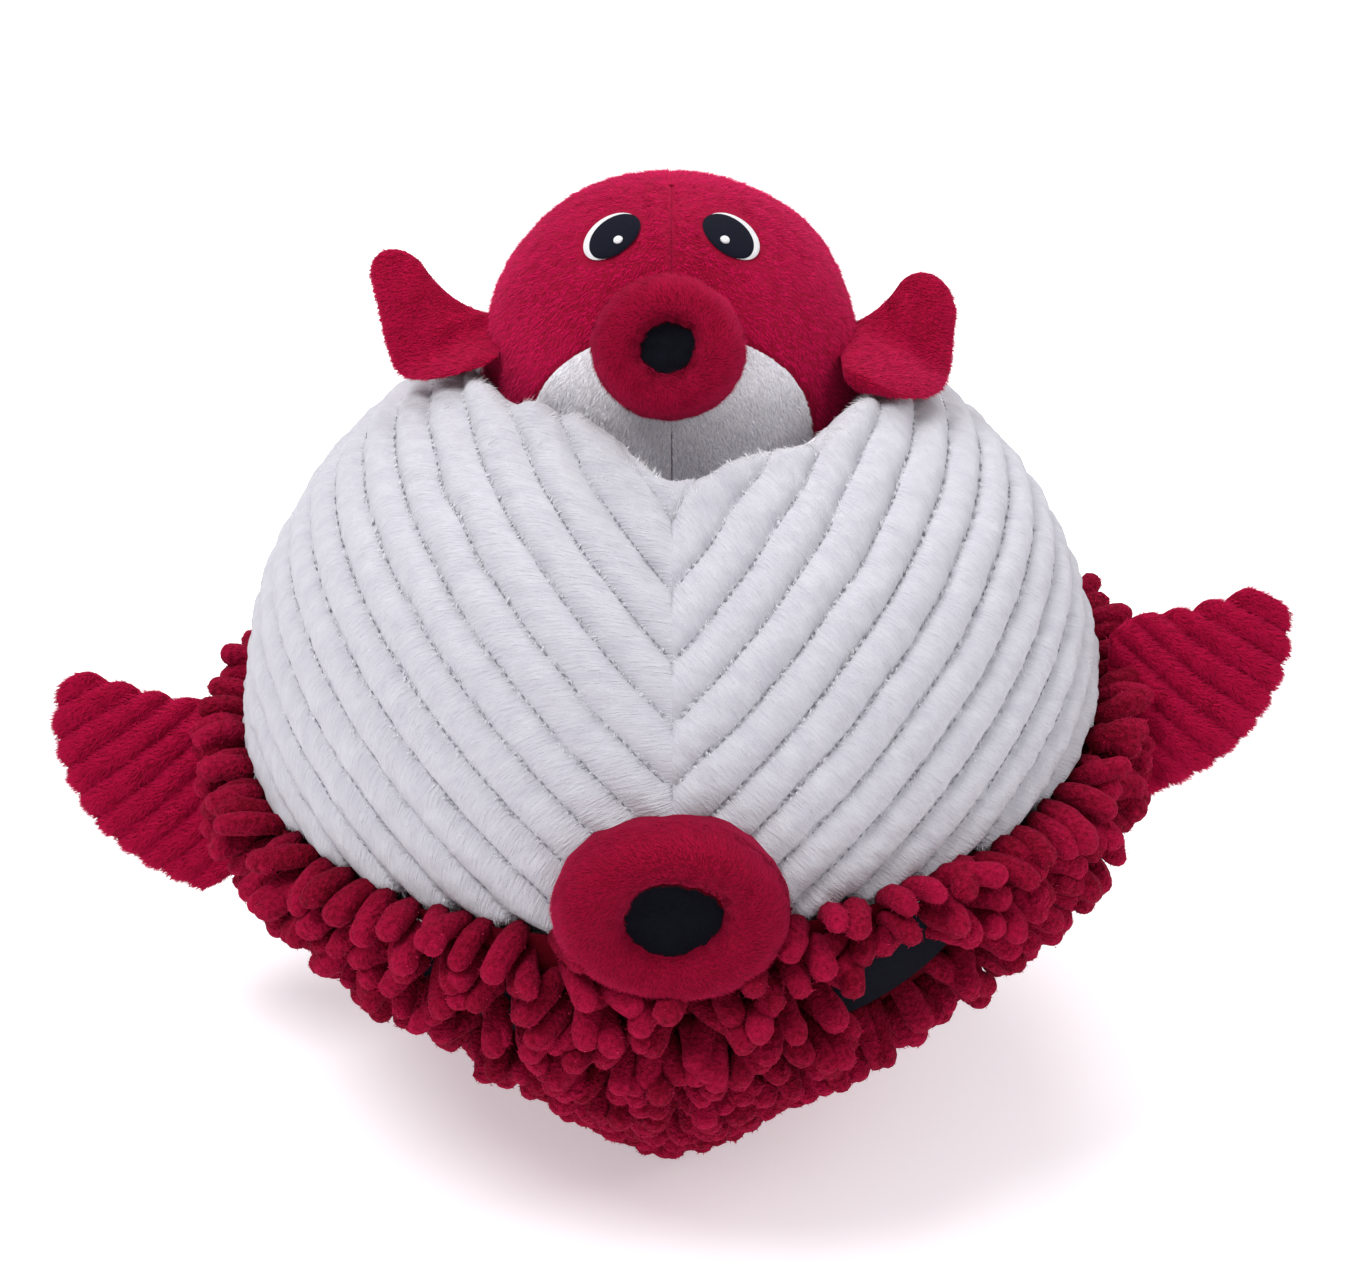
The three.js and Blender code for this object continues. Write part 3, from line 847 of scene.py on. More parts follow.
def pouch_lining():
    """A section carried round the plan: up the outside, over the top edge, down the inside, in to the floor's
    middle and back below it. Each part of it is (level, growth of the plan, share of the plan)."""
    turn = np.linspace(-np.pi, np.pi, LINING_STEPS, endpoint=False)[:, None]
    droop = sag(turn)
    rim_x = np.sin(turn) * pouch_reach(turn, droop)
    rim_y = POUCH_Y - np.cos(turn) * pouch_reach(turn, droop)
    rim = MOTHER.height(rim_x, rim_y) - LINING_BELOW_RIM
    under = POUCH_FLOOR - POUCH_CLOTH
    up = np.linspace(0, 1, 12)[None, :]
    over = np.linspace(0, np.pi, 8)[None, 1:-1]
    down = np.linspace(0, 1, 44)[None, :]
    centre = np.linspace(1, 0, 22)[None, 1:]
    back = np.linspace(0, 1, 8)[None, 1:-1]
    half = POUCH_CLOTH / 2
    parts = (
        (under + (rim - under) * up, POUCH_CLOTH, 1),
        (rim + half * np.sin(over), half + half * np.cos(over), 1),
        (rim - (rim - POUCH_FLOOR) * down, 0, 1),
        (POUCH_FLOOR + 0 * turn, 0, centre),
        (under + 0 * turn, POUCH_CLOTH, back),
    )
    level, grow, share = np.concatenate([stack(*part) for part in parts], 1).transpose(2, 0, 1)
    reach = pouch_reach(turn, grow + droop * smooth_step(-45 * MM, 0, level - rim)) * share
    points = stack(np.sin(turn) * reach, POUCH_Y - np.cos(turn) * reach, level)
    away = unit(points - [0, POUCH_Y, 0]) * [1, 1, 0]
    folds = soft_noise(points * [1, 1, 0.35], 24 * MM, 21) * 1.1 * MM
    folds = folds * smooth_step(0, 25 * MM, rim - level) * smooth_step(0.2, 0.9, share)
    points = points - away * np.maximum(folds, -1.0 * MM)[..., None]
    points[..., 2] += 0.8 * MM * soft_noise(points, 20 * MM, 22) * smooth_step(0.95, 0.6, share)
    # The lining wears the bib's white plush, which is painted lighter to lift shade.
    return make_piece("pouch_lining_plush", points, carried(points, True), LIT_BIB_PLUSH)


lining = finished(pouch_lining(), "mother", "pouch_plush", "pouch_lining")

# %% [markdown]
# ## Chenille
# Her back is mop-like cloth, with noodles 8 to 9 mm thick sewn close together. They hang down, curl a little
# and are shorter where she lies on them. Each one is a short bent tube with a round end, and has fuzz.

# %% The cloth that the noodles are sewn to
# Noodles hang over an eye from its lid, which is a height in millimetres above the eye's middle. Her right
# eye sits a little higher than the left, as the seam above it does.
EYE_LEAN = 1.5
MOTHER_EYE = {
    "azimuth": 28,
    "elevation": -7.5,
    "across": 25 * MM,
    "tall": 15.5 * MM,
    "turn": 33,
    "rim": 2.6 * MM,
    "lid": {"left": -3, "right": 6},
}
MOUTH = {"azimuth": 0, "elevation": 6, "across": 35 * MM, "tall": 28 * MM, "proud": 16 * MM, "hole": 0.4}
REST_Z = 3.5 * MM


def chenille_backing():
    """A shell from under the belly's hem to the bottom, flat where it rests."""
    azimuth = np.linspace(-180, 180, 180, endpoint=False)
    top = seam_elevation(azimuth) - 0.4
    share = np.linspace(0, 1, 60)
    elevation = top[:, None] + (-90 - top)[:, None] * share
    azimuth = np.broadcast_to(azimuth[:, None], elevation.shape)
    outer = MOTHER.at(azimuth, elevation, 0.8 * MM)
    inner = MOTHER.at(azimuth[:, ::-3], elevation[:, ::-3], CLOTH_INSIDE)
    outer[..., 2] = np.maximum(outer[..., 2], REST_Z)
    inner[..., 2] = np.maximum(inner[..., 2], REST_Z + 2 * MM)
    loops = np.concatenate([outer, inner], 1)
    return make_piece("chenille_backing", loops, carried(loops, True), BACKING)


finished(chenille_backing(), "mother", "chenille", "chenille_back")

# %% The noodles
NOODLE_RINGS, NOODLE_SIDES = 8, 8
NOODLE_RADIUS = 4.2 * MM
NOODLE_PITCH = 9.3 * MM
NOODLE_ROWS = np.arange(0.9, 66, 3.2)


def noodle_roots(rng):
    """Rows round the ball, 3.2 degrees or 8 mm apart. Each root is moved a little at random."""
    rows = []
    for number, row in enumerate(NOODLE_ROWS):
        count = int(2 * np.pi * MOTHER.across * np.cos(np.radians(row)) / NOODLE_PITCH)
        azimuth = (np.arange(count) + 0.5 * (number % 2)) * 360 / count - 180
        azimuth = azimuth + rng.normal(0, 0.7, count)
        drop = row + rng.normal(0, 0.55 if number else 0.15, count)
        rows.append(np.stack([azimuth, drop, np.full(count, number)]))
    azimuth, drop, number = np.concatenate(rows, 1)
    return azimuth, seam_elevation(azimuth) - drop, number


def face_room(point):
    """True where the mouth or the part of an eye below its lid leaves no room for a noodle's root."""
    across, up, out = MOTHER.facing(MOUTH["azimuth"], MOUTH["elevation"])
    offset = point - MOTHER.middle
    x, y = offset @ across, offset @ up
    taken = (np.hypot(x / (MOUTH["across"] - 3 * MM), y / (MOUTH["tall"] - 3 * MM)) < 1) & (offset @ out > 0)
    for side, sign in SIDES:
        lean = EYE_LEAN * sign
        across, up, out = MOTHER.facing(sign * MOTHER_EYE["azimuth"], MOTHER_EYE["elevation"] + lean)
        x, y = offset @ across, offset @ up
        turn = np.radians(sign * MOTHER_EYE["turn"])
        long = (x * np.cos(turn) + y * np.sin(turn)) / (MOTHER_EYE["across"] - 1 * MM)
        short = (y * np.cos(turn) - x * np.sin(turn)) / (MOTHER_EYE["tall"] - 1 * MM)
        below_lid = y < MOTHER_EYE["lid"][side] * MM
        taken |= (np.hypot(long, short) < 1) & (offset @ out > 0) & below_lid
    return taken


def noodle_paths(rng):
    """Three points of each noodle's curve: its root, its elbow, and its tip, which hangs down. Noodles are
    shorter low down, at the front corners and under the label. The first row is lifted, and so are the first
    few beside the mouth and at the fins. A point that would be in the floor moves up and out."""
    azimuth, elevation, number = noodle_roots(rng)
    root = MOTHER.at(azimuth, elevation, -1.0 * MM)
    free = ~face_room(root)
    azimuth, root, number = azimuth[free], root[free], number[free]
    count = len(root)
    outward = MOTHER.outwards(root)
    a = np.radians(azimuth)
    round_way = stack(np.cos(a), np.sin(a), 0)
    flat_out = stack(np.sin(a), -np.cos(a), 0)
    down = np.array([0, 0, -1.0])
    low = smooth_step(95 * MM, 35 * MM, root[:, 2:3])
    corner = np.exp(-(((np.abs(azimuth) - 55) / 26) ** 2))[:, None]
    corner = corner * smooth_step(115 * MM, 60 * MM, root[:, 2:3])
    length = rng.uniform(18, 23.5, (count, 1)) * (1 - 0.38 * low) * (1 - 0.32 * corner) * MM
    under_label = (np.abs(root[:, :1]) < 16 * MM) & (root[:, 1:2] > 0)
    length = np.where(under_label, 0.5 * length, length)
    sway = rng.normal(0, 0.32, (count, 1)) * round_way + rng.normal(0, 0.15, (count, 1)) * down
    lifted = np.exp(-(((azimuth - 25) / 15) ** 2)) * (number < 3)
    lifted += 0.45 * (number < 1)
    lifted += 1.3 * np.exp(-(((np.abs(azimuth) - 98) / 20) ** 2)) * (number < 4)
    elbow = root + length * 0.5 * unit(outward + sway + down * (0.12 - 0.75 * lifted[:, None]))
    hang = rng.uniform(0.1, 0.75, (count, 1)) + 0.35 * low
    tip = elbow + length * 0.55 * unit(outward * 0.8 + hang * down + sway * 1.6)
    for point in (elbow, tip):
        short = np.maximum(NOODLE_RADIUS - point[:, 2], 0)
        point[:, 2] += short
        point += flat_out * np.minimum(short, 8 * MM)[:, None] * 0.3
    return root, elbow, tip, round_way, azimuth


def noodles():
    """Rings round a curve of second degree, with a closing point at each end. A ring's size varies a little
    along the noodle. Tone differs at random from noodle to noodle, and painted shade darkens it at the root,
    where the noodles crowd, and lightens it towards the tip."""
    rng = np.random.default_rng(7)
    root, elbow, tip, round_way, azimuth = noodle_paths(rng)
    count = len(root)
    t = np.array([0, 0.2, 0.4, 0.58, 0.74, 0.86, 0.945, 0.99])[None, :, None]
    bulge = np.array([0.82, 0.94, 1.0, 1.0, 1.0, 0.93, 0.74, 0.4])
    size = bulge * (1 + rng.normal(0, 0.045, (count, NOODLE_RINGS)))
    size = size * NOODLE_RADIUS * rng.uniform(0.92, 1.12, (count, 1))
    root, elbow, tip = root[:, None], elbow[:, None], tip[:, None]
    path = root * (1 - t) ** 2 + elbow * 2 * t * (1 - t) + tip * t**2
    way = unit((elbow - root) * (1 - t) + (tip - elbow) * t)
    side = laid_flat(round_way[:, None], way)
    rise = np.cross(way, side)
    turn = np.arange(NOODLE_SIDES) * 2 * np.pi / NOODLE_SIDES
    ring = side[:, :, None] * np.cos(turn)[:, None] + rise[:, :, None] * np.sin(turn)[:, None]
    lumps = 1 + rng.normal(0, 0.04, (count, NOODLE_RINGS, NOODLE_SIDES, 1))
    tube = path[:, :, None] + ring * size[:, :, None, None] * lumps
    ends = np.concatenate([path[:, :1], path[:, -1:] + way[:, -1:] * 0.5 * MM], 1)
    tube = np.concatenate([tube.reshape(count, -1, 3), ends], 1)
    tube[..., 2] = np.maximum(tube[..., 2], 0.3 * MM)
    shade = rng.uniform(0.35, 0.8, (count, 1)) * np.ones((count, NOODLE_RINGS))
    # Painted shade: darker at the root, where the noodles crowd, and lighter towards the tip.
    shade = shade * np.array([0.2, 0.5, 0.8, 0.95, 1, 1.08, 1.15, 1.2])
    tone = np.concatenate([np.repeat(shade, NOODLE_SIDES, 1), shade[:, :1], shade[:, -1:]], 1)
    return tube, tone, azimuth


def noodle_fuzz(name, tubes, count):
    """Short hairs on the noodles, each one rooted beside a corner of a ring and pointing out of it."""
    rng = np.random.default_rng(count)
    rings = tubes[:, :-2].reshape(len(tubes), NOODLE_RINGS, NOODLE_SIDES, 3)
    pick = rng.integers(0, len(tubes), count)
    ring, side = rng.integers(1, NOODLE_RINGS - 1, count), rng.integers(0, NOODLE_SIDES, count)
    part = rng.uniform(0, 1, (2, count, 1))
    here = rings[pick, ring, side]
    along = rings[pick, ring + 1, side] - here
    round_it = rings[pick, ring, (side + 1) % NOODLE_SIDES] - here
    outward = unit(here - rings[pick, ring].mean(axis=1))
    roots = here + part[0] * along + part[1] * round_it
    lean = unit(outward + 0.5 * unit(along) + 0.3 * rng.normal(size=(count, 3)))
    return hairs(name, roots, outward, lean, rng.uniform(0.8, 1.5, count) * MM, 0.4 * MM, RED_PILE)


def noodle_faces(count):
    """The squares between rings, and triangles to the closing points, which come last in each noodle."""
    last = NOODLE_RINGS * NOODLE_SIDES
    here = np.arange(NOODLE_SIDES)
    after = (here + 1) % NOODLE_SIDES
    body = grid_faces(NOODLE_RINGS, NOODLE_SIDES, wrap_columns=True)
    foot = np.stack([after, here, here * 0 + last], -1)
    head = np.stack([here + last - NOODLE_SIDES, after + last - NOODLE_SIDES, here * 0 + last + 1], -1)
    start = np.arange(count)[:, None, None] * (last + 2)
    return [(start + body).reshape(-1, 4), (start + np.concatenate([foot, head])).reshape(-1, 3)]


tube, tone, noodle_azimuth = noodles()
FUZZ_HAIRS = 18000
QUARTERS = (("front", -45, 45), ("right", 45, 135), ("left", -135, -45), ("back", 135, 225))
turned = np.where(noodle_azimuth < -135, noodle_azimuth + 360, noodle_azimuth)
for quarter, low, high in QUARTERS:
    chosen = (turned >= low) & (turned < high)
    faces = noodle_faces(chosen.sum())
    name = f"chenille_noodles_{quarter}"
    piece = make_piece(name, tube[chosen], faces, CHENILLE, tone=tone[chosen], weld=False)
    finished(piece, "mother", "chenille")
    finished(noodle_fuzz(f"chenille_fuzz_{quarter}", tube[chosen], FUZZ_HAIRS), "mother", "chenille")

# %% [markdown]
# ## Mouths
# A mouth is a padded ring of short plush with black felt in its dimple. Its section is a rounded box that
# sinks into the head, carried round an oval. Slow waves and small puckers keep it from looking turned, and
# a short cloth simulation with pressure inside fills it out.


# %% Padded rings
def ring_frame(ball, mouth):
    """The middle of a mouth's foot, and unit vectors across, up and out of it."""
    across, up, out = ball.facing(mouth["azimuth"], mouth["elevation"])
    return ball.middle + out * ball.deep, across, up, out


CLOTH_FRAMES = 20


def blown_up(points, pinned, most=5 * MM):
    """A closed ring of cloth after a simulation with pressure inside and no gravity. Pinned runs from 0,
    free, to 1, fixed. No point moves farther than most."""
    work = make_piece("cloth at work", points, carried(points, True), RED_PLUSH, weld=False)
    held = work.vertex_groups.new(name="held")
    for number, weight in enumerate(pinned.ravel()):
        held.add([number], float(weight), "REPLACE")
    cloth = work.modifiers.new("cloth", "CLOTH")
    cloth.settings.vertex_group_mass = "held"
    cloth.settings.quality = 6
    cloth.settings.mass = 0.15
    cloth.settings.use_pressure = True
    cloth.settings.uniform_pressure_force = 4
    cloth.settings.effector_weights.gravity = 0
    cloth.point_cache.frame_start = 1
    cloth.point_cache.frame_end = CLOTH_FRAMES
    for number in range(1, CLOTH_FRAMES + 1):
        bpy.context.scene.frame_set(number)
    shaped = work.evaluated_get(bpy.context.evaluated_depsgraph_get()).data
    moved = vertex_values(shaped, "co").reshape(points.shape) - points
    bpy.context.scene.frame_set(1)
    bpy.data.objects.remove(work)
    far = np.linalg.norm(moved, axis=-1, keepdims=True)
    print("cloth moved up to", round(float(far.max()) / MM, 2), "mm")
    return points + moved * np.minimum(1, most / np.maximum(far, 1e-9))


def doubled(grid, axis):
    """A ring of points with a new one between each two: nine parts of the near ones less one of the far."""
    before, after, far = (np.roll(grid, step, axis) for step in (1, -1, -2))
    between = (9 * (grid + after) - before - far) / 16
    shape = list(grid.shape)
    shape[axis] *= 2
    return np.stack([grid, between], axis + 1).reshape(shape)


RING_HAIRS = 16000


def mouth_ring(name, ball, mouth, sink, seed, finish, fur):
    """The section is |c|^2.5 + |s|^2.5 = 1, with c away from the hole and s out of the face. It starts sink
    below the face. Puckers are strongest near the hole and round the foot, and the foot stays pinned."""
    base, across, up, out = ring_frame(ball, mouth)
    turn = np.linspace(0, 2 * np.pi, 64, endpoint=False)[:, None]
    around = np.linspace(0, 2 * np.pi, 28, endpoint=False)[None, :]
    wide = mouth["tall"] * (1 - mouth["hole"]) / 2
    centre = mouth["tall"] * (1 + mouth["hole"]) / 2
    power = 2 / 2.5
    c, s = np.cos(around), np.sin(around)
    c, s = np.sign(c) * np.abs(c) ** power, np.sign(s) * np.abs(s) ** power
    half = (mouth["proud"] + sink) / 2
    circle = stack(np.cos(turn), np.sin(turn))
    slow = soft_noise(circle, 1.6, seed, waves=9)
    quick = soft_noise(circle, 0.32, seed + 1)
    inner = smooth_step(0.2, -0.9, c)
    outer = smooth_step(0.2, 0.9, c) * smooth_step(0.5, -0.3, s)
    reach = centre + wide * c * (1 + 0.05 * slow) + 0.25 * MM * quick * (inner + 1.3 * outer)
    rise = (mouth["proud"] - sink) / 2 + half * s * (1 + 0.06 * slow)
    reach_x = reach * mouth["across"] / mouth["tall"] * np.cos(turn)
    reach_y = reach * np.sin(turn)
    points = base + reach_x[..., None] * across + reach_y[..., None] * up + rise[..., None] * out
    pinned = np.broadcast_to(smooth_step(0.1, -0.3, s) + 0.6 * smooth_step(-0.6, -1.0, c), points.shape[:2])
    points = blown_up(points, np.clip(pinned, 0, 1))
    points = doubled(doubled(points, 0), 1)
    ring = make_piece(name, points, carried(points, True), finish)
    seen = np.concatenate([points, points[:1]])[:, :29]
    outward = grid_normals(seen)
    outward = outward * np.sign((outward @ out).mean())
    combed = unit(seen - (seen - base) @ out[:, None] * out - base)
    combed = unit(combed + 0.6 * np.cross(out, combed))
    combed = laid_flat(combed, outward)
    length = np.full(seen.shape[:2], 1.5 * MM)
    hair = pile(f"{name}_pile", seen, outward, combed, RING_HAIRS, length, 0.3 * MM, fur, seed)
    finished(hair, "baby" if ball is BABY else "mother", "smooth_plush")
    return ring


def pillow(name, ball, outline, foot, thick, finish, frame_at, uv_turn=0.0, crown=4.0, rings=14):
    """A thin closed patch on a ball. Its height over the rim is thick times the root of 1 - r^crown."""
    across, up, out = ball.facing(*frame_at)
    share = np.concatenate([np.linspace(0, 1, rings) ** 0.6, np.linspace(1, 0, 5)[1:]])
    top = np.arange(len(share)) < rings
    rise = np.where(top, foot + thick * np.sqrt(np.maximum(1 - share**crown, 0)), foot - 0.6 * MM)
    centre = outline.mean(axis=0)
    flat = centre + (outline[:, None, :] - centre) * share[None, :, None]
    reach = np.linalg.norm(ball.hit(out) - ball.middle)
    way = out * reach + flat[..., :1] * across + flat[..., 1:] * up
    points = ball.hit(way, np.broadcast_to(rise, flat.shape[:2]))
    c, s = np.cos(uv_turn), np.sin(uv_turn)
    uv = flat @ np.array([[c, -s], [s, c]])
    return make_piece(name, points, carried(points, True), finish, uv=uv)


def oval(across, tall, turn=0.0, x=0.0, y=0.0, steps=64):
    """An ellipse that is turned by an angle in degrees, as points in its plane."""
    a, t = np.radians(turn), np.linspace(0, 2 * np.pi, steps, endpoint=False)
    long, short = across * np.cos(t), tall * np.sin(t)
    return stack(x + long * np.cos(a) - short * np.sin(a), y + long * np.sin(a) + short * np.cos(a))


def mouth_centre(name, ball, mouth, seed):
    """A felt disc in the dimple, a little uneven at its edge."""
    base, across, up, out = ring_frame(ball, mouth)
    share = np.concatenate([np.linspace(0, 1, 12), [1.0, 0.5, 0.0]])
    depth = mouth["proud"] - mouth["tall"] * (1 - mouth["hole"]) / 2
    level = np.concatenate([np.full(12, depth + 1.6 * MM), np.full(3, depth + 0.4 * MM)])
    size = mouth["hole"] + 0.12
    edge = oval(mouth["across"] * size, mouth["tall"] * size)
    flat = edge[:, None] * share[:, None]
    points = base + flat[..., :1] * across + flat[..., 1:] * up + level[:, None] * out
    points = points + out * 0.3 * MM * soft_noise(points, 5 * MM, seed)[..., None]
    return make_piece(name, points, carried(points, True), BLACK_FELT)


BABY_MOUTH = {
    "azimuth": -1,
    "elevation": 27,
    "across": 23.5 * MM,
    "tall": 22 * MM,
    "proud": 22 * MM,
    "hole": 0.31,
}
MOUTHS = (
    ("mother", "mouth", MOTHER, MOUTH, 12 * MM, 31, 0.8),
    ("baby", "baby_mouth", BABY, BABY_MOUTH, 8 * MM, 35, 0.85),
)
# Both mouth rings wear the darker copy of the crimson plush, which is painted shade.
for body, name, ball, mouth, sink, seed, fill in MOUTHS:
    ring = mouth_ring(f"{name}_ring", ball, mouth, sink, seed, SHADED_RED_PLUSH, SHADED_RED_PILE)
    finished(ring, body, "smooth_plush", f"{name}_cover", fill=fill)
    centre = mouth_centre(f"{name}_felt", ball, mouth, seed + 2)
    finished(centre, body, "black_felt", f"{name}_centre")

# %% [markdown]
# ## Eyes
# The mother has black felt ovals with a white crescent, half buried in noodles. The baby's are satin stitch:
# a white oval, a black one over its inner part, and a white fleck.

# %% Parts of an eye
def eye_parts(eye, sign, lean, grow):
    """Where an eye faces, its white oval and its black one. Grow is how much wider and taller the white is,
    and how far it is moved outwards, in shares of the rim that shows."""
    frame_at = (sign * eye["azimuth"], eye["elevation"] + lean * sign)
    turn = sign * eye["turn"]
    wider, taller, moved = (share * eye["rim"] for share in grow)
    white = oval(eye["across"] + wider, eye["tall"] + taller, turn, sign * moved, 0)
    return frame_at, white, oval(eye["across"], eye["tall"], turn)


# %% Mother's eyes
for side, sign in SIDES:
    frame_at, white, black = eye_parts(MOTHER_EYE, sign, EYE_LEAN, (0.5, 0.2, 0.5))
    piece = pillow(f"eye_white_{side}_felt", MOTHER, white, 2.2 * MM, 1.0 * MM, WHITE_FELT, frame_at)
    finished(piece, "mother", "white_felt", f"eye_white_{side}")
    piece = pillow(f"eye_black_{side}_felt", MOTHER, black, 3.0 * MM, 1.6 * MM, BLACK_FELT, frame_at)
    finished(piece, "mother", "black_felt", f"eye_black_{side}")

# %% Baby's eyes
BABY_EYE = {"azimuth": 35, "elevation": 60, "across": 7.2 * MM, "tall": 9.6 * MM, "turn": 10, "rim": 2.4 * MM}
GLINT = 1.5 * MM
for side, sign in SIDES:
    frame_at, white, black = eye_parts(BABY_EYE, sign, 0, (0.3, 0.25, 0.75))
    glint = oval(GLINT, GLINT, 0, -sign * 2 * GLINT, -1.3 * GLINT, steps=20)
    rows = (
        ("white", white, 0.2 * MM, 0.9 * MM, WHITE_THREAD, "white_thread", {"uv_turn": 0.8}),
        ("black", black, 0.7 * MM, 1.0 * MM, BLACK_THREAD, "black_thread", {"uv_turn": 0.3}),
        ("glint", glint, 1.7 * MM, 0.5 * MM, WHITE_THREAD, "white_thread", {"rings": 6}),
    )
    for part, outline, foot, thick, thread, slot, more in rows:
        name = f"baby_eye_{part}_{side}"
        piece = pillow(f"{name}_stitch", BABY, outline, foot, thick, thread, frame_at, **more)
        finished(piece, "baby", slot, name)

# %% [markdown]
# ## The baby's body
# Two panels of red short plush meet in a seam over the head, and two white ones form the bib. Each is a
# closed shell of cloth. The red dips under the edge of the white, as it does where it is sewn.

# %% Bib outline
bib_low, bib_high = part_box("baby_belly_right")
BIB_HALF = bib_high.x
BIB_ARCH = 40 * MM
BIB_SPRING = bib_high.z - BIB_ARCH


def ring_share(z):
    """The baby's width at a height, as a share of her greatest width."""
    tall = np.where(z > BABY.middle[2], BABY.up, BABY.down)
    share = np.abs((z - BABY.middle[2]) / tall)
    return np.maximum(1 - share**FULLNESS, 0) ** (1 / FULLNESS)


def bib_half(z):
    """The patch's half width at a height: straight, then a quarter ellipse, and never past the flanks."""
    rise = np.clip((z - BIB_SPRING) / BIB_ARCH, 0, 1)
    return np.minimum(BIB_HALF * np.sqrt(1 - rise**2), 0.86 * BABY.across * ring_share(z))


def on_front(x, z):
    """The point of the baby's front with this x and z."""
    depth = np.sqrt(np.maximum(ring_share(z) ** 2 - (x / BABY.across) ** 2, 0))
    return stack(x, BABY.middle[1] - BABY.deep * depth, z)


# %% Baby's panels
def baby_face_room(point):
    """1 on the baby's eyes, where embroidery flattens the pile."""
    covered = np.zeros(point.shape[:-1])
    for _, sign in SIDES:
        across, up, out = BABY.facing(sign * BABY_EYE["azimuth"], BABY_EYE["elevation"])
        offset = point - BABY.middle
        x, y = offset @ across - sign * 1 * MM, offset @ up
        far = np.hypot(x / (BABY_EYE["across"] + 2 * MM), y / (BABY_EYE["tall"] + 2 * MM))
        covered = np.maximum(covered, smooth_step(1.15, 1.0, far) * (offset @ out > 0))
    return covered


PANEL_HAIRS = 26000


def short_pile(name, surface, outward, combed, length, finish, seed):
    """Short pile of the baby. Combed is laid flat onto the surface first."""
    combed = laid_flat(combed, outward)
    hair = pile(name, surface, outward, combed, PANEL_HAIRS, length, 0.3 * MM, finish, seed)
    finished(hair, "baby", "smooth_plush")


def baby_coat(side, sign):
    """Half of the red shell, out along 150 elevations and back inside along 24. Its pile covers the part
    above the pouch's rim and a little below it."""
    azimuth = sign * np.linspace(0, 180, 110)[:, None]
    elevation = np.concatenate([np.linspace(-90, 90, 150), np.linspace(90, -90, 24)])[None, :]
    inner = np.arange(174) >= 150
    bare = BABY.at(azimuth, elevation)
    outward = BABY.outwards(bare)
    height = 0.45 * MM * soft_noise(bare, 40 * MM, 51) + 0.12 * MM * soft_noise(bare, 7 * MM, 52)
    height -= 0.25 * MM * np.exp(-((bare[..., 0] / (2.0 * MM)) ** 2))
    edge = np.minimum(bib_half(bare[..., 2]) - np.abs(bare[..., 0]), bare[..., 2] - bib_low.z)
    under_bib = smooth_step(-1.2 * MM, 1.2 * MM, edge) * (bare[..., 1] < BABY.middle[1])
    height = np.where(inner, -2.8 * MM, height - 1.6 * MM * under_bib)
    points = bare + outward * height[..., None]
    piece = make_piece(f"baby_coat_{side}", points, carried(points), RED_PLUSH)
    finished(piece, "baby", "smooth_plush", f"baby_body_{side}", fill=0.9)
    seen = slice(60, 150)
    combed = np.array([0.25 * sign, 0, -1.0])
    bare_eye = baby_face_room(points[:, seen])
    length = 1.7 * MM * (1 - smooth_step(0.4, 0.6, under_bib[:, seen])) * (1 - bare_eye) + 0.05 * MM
    surface, outward = points[:, seen], outward[:, seen]
    # Her pile is the lighter copy of the crimson pile: painted light on the top of her head.
    short_pile(f"baby_pile_{side}", surface, outward, combed, length, LIT_BABY_PILE, 90 + sign)


def baby_bib(side, sign):
    """Half of the white shell: rows of equal height, from the seam out to the edge and back inside. It drops
    in a quarter round at its edge."""
    arch = np.linspace(0, np.pi / 2, 50)[1:]
    straight = np.linspace(bib_low.z + 1 * MM, BIB_SPRING, 70)
    z = np.concatenate([straight, BIB_SPRING + BIB_ARCH * np.sin(arch)])
    share = np.concatenate([np.linspace(0, 1, 44), np.linspace(1, 0, 10)])[:, None]
    inner = (np.arange(54) >= 44)[:, None]
    half = np.maximum(bib_half(z), 0.3 * MM)
    x = sign * (0.15 * MM + (half - 0.15 * MM) * share)
    bare = on_front(x, np.broadcast_to(z, x.shape))
    outward = BABY.outwards(bare)
    height = 0.3 * MM + 0.3 * MM * soft_noise(bare, 30 * MM, 55)
    height -= 0.25 * MM * np.exp(-((bare[..., 0] / (1.5 * MM)) ** 2))
    near = np.clip(1 - (half - np.abs(bare[..., 0])) / (2.2 * MM), 0, 1)
    height -= 1.7 * MM * (1 - np.sqrt(1 - near**2))
    height = np.where(inner, -2.6 * MM, height)
    points = (bare + outward * height[..., None]).transpose(1, 0, 2)
    piece = make_piece(f"baby_bib_{side}", points, carried(points), LIT_BIB_PLUSH)
    finished(piece, "baby", "baby_belly_plush", f"baby_belly_{side}", fill=0.9)
    seen = points[:, :44]
    outward = BABY.outwards(seen)
    length = np.full(seen.shape[:2], 1.6 * MM)
    combed = np.array([0.3 * sign, 0, -1.0])
    short_pile(f"baby_bib_pile_{side}", seen, outward, combed, length, LIT_BIB_PILE, 95 + sign)


for side, sign in SIDES:
    baby_coat(side, sign)
    baby_bib(side, sign)

# %% [markdown]
# ## Fins
# A fin is two cut shapes sewn round the edge and stuffed. Its outline is a few curves, filled by scaling it
# towards a centre, and the padding is thickest there. The root runs on into the body.


# %% Fin outlines
def curve(*controls, steps=28):
    """A Bezier curve through its first and last control points."""
    t = np.linspace(0, 1, steps, endpoint=False)[:, None]
    points = [np.array(p, float)[None, :] * (1 + 0 * t) for p in controls]
    while len(points) > 1:
        points = [a * (1 - t) + b * t for a, b in zip(points[:-1], points[1:], strict=True)]
    return points[0]


def outline(start, *parts, last_steps=28):
    """Curves one after another, in millimetres. Each part holds the next control points, and the last part
    leads back to the start."""
    lines = []
    for number, part in enumerate(parts, 1):
        steps = last_steps if number == len(parts) else 28
        lines.append(curve(start, *part, steps=steps))
        start = part[-1]
    return np.concatenate(lines) * MM


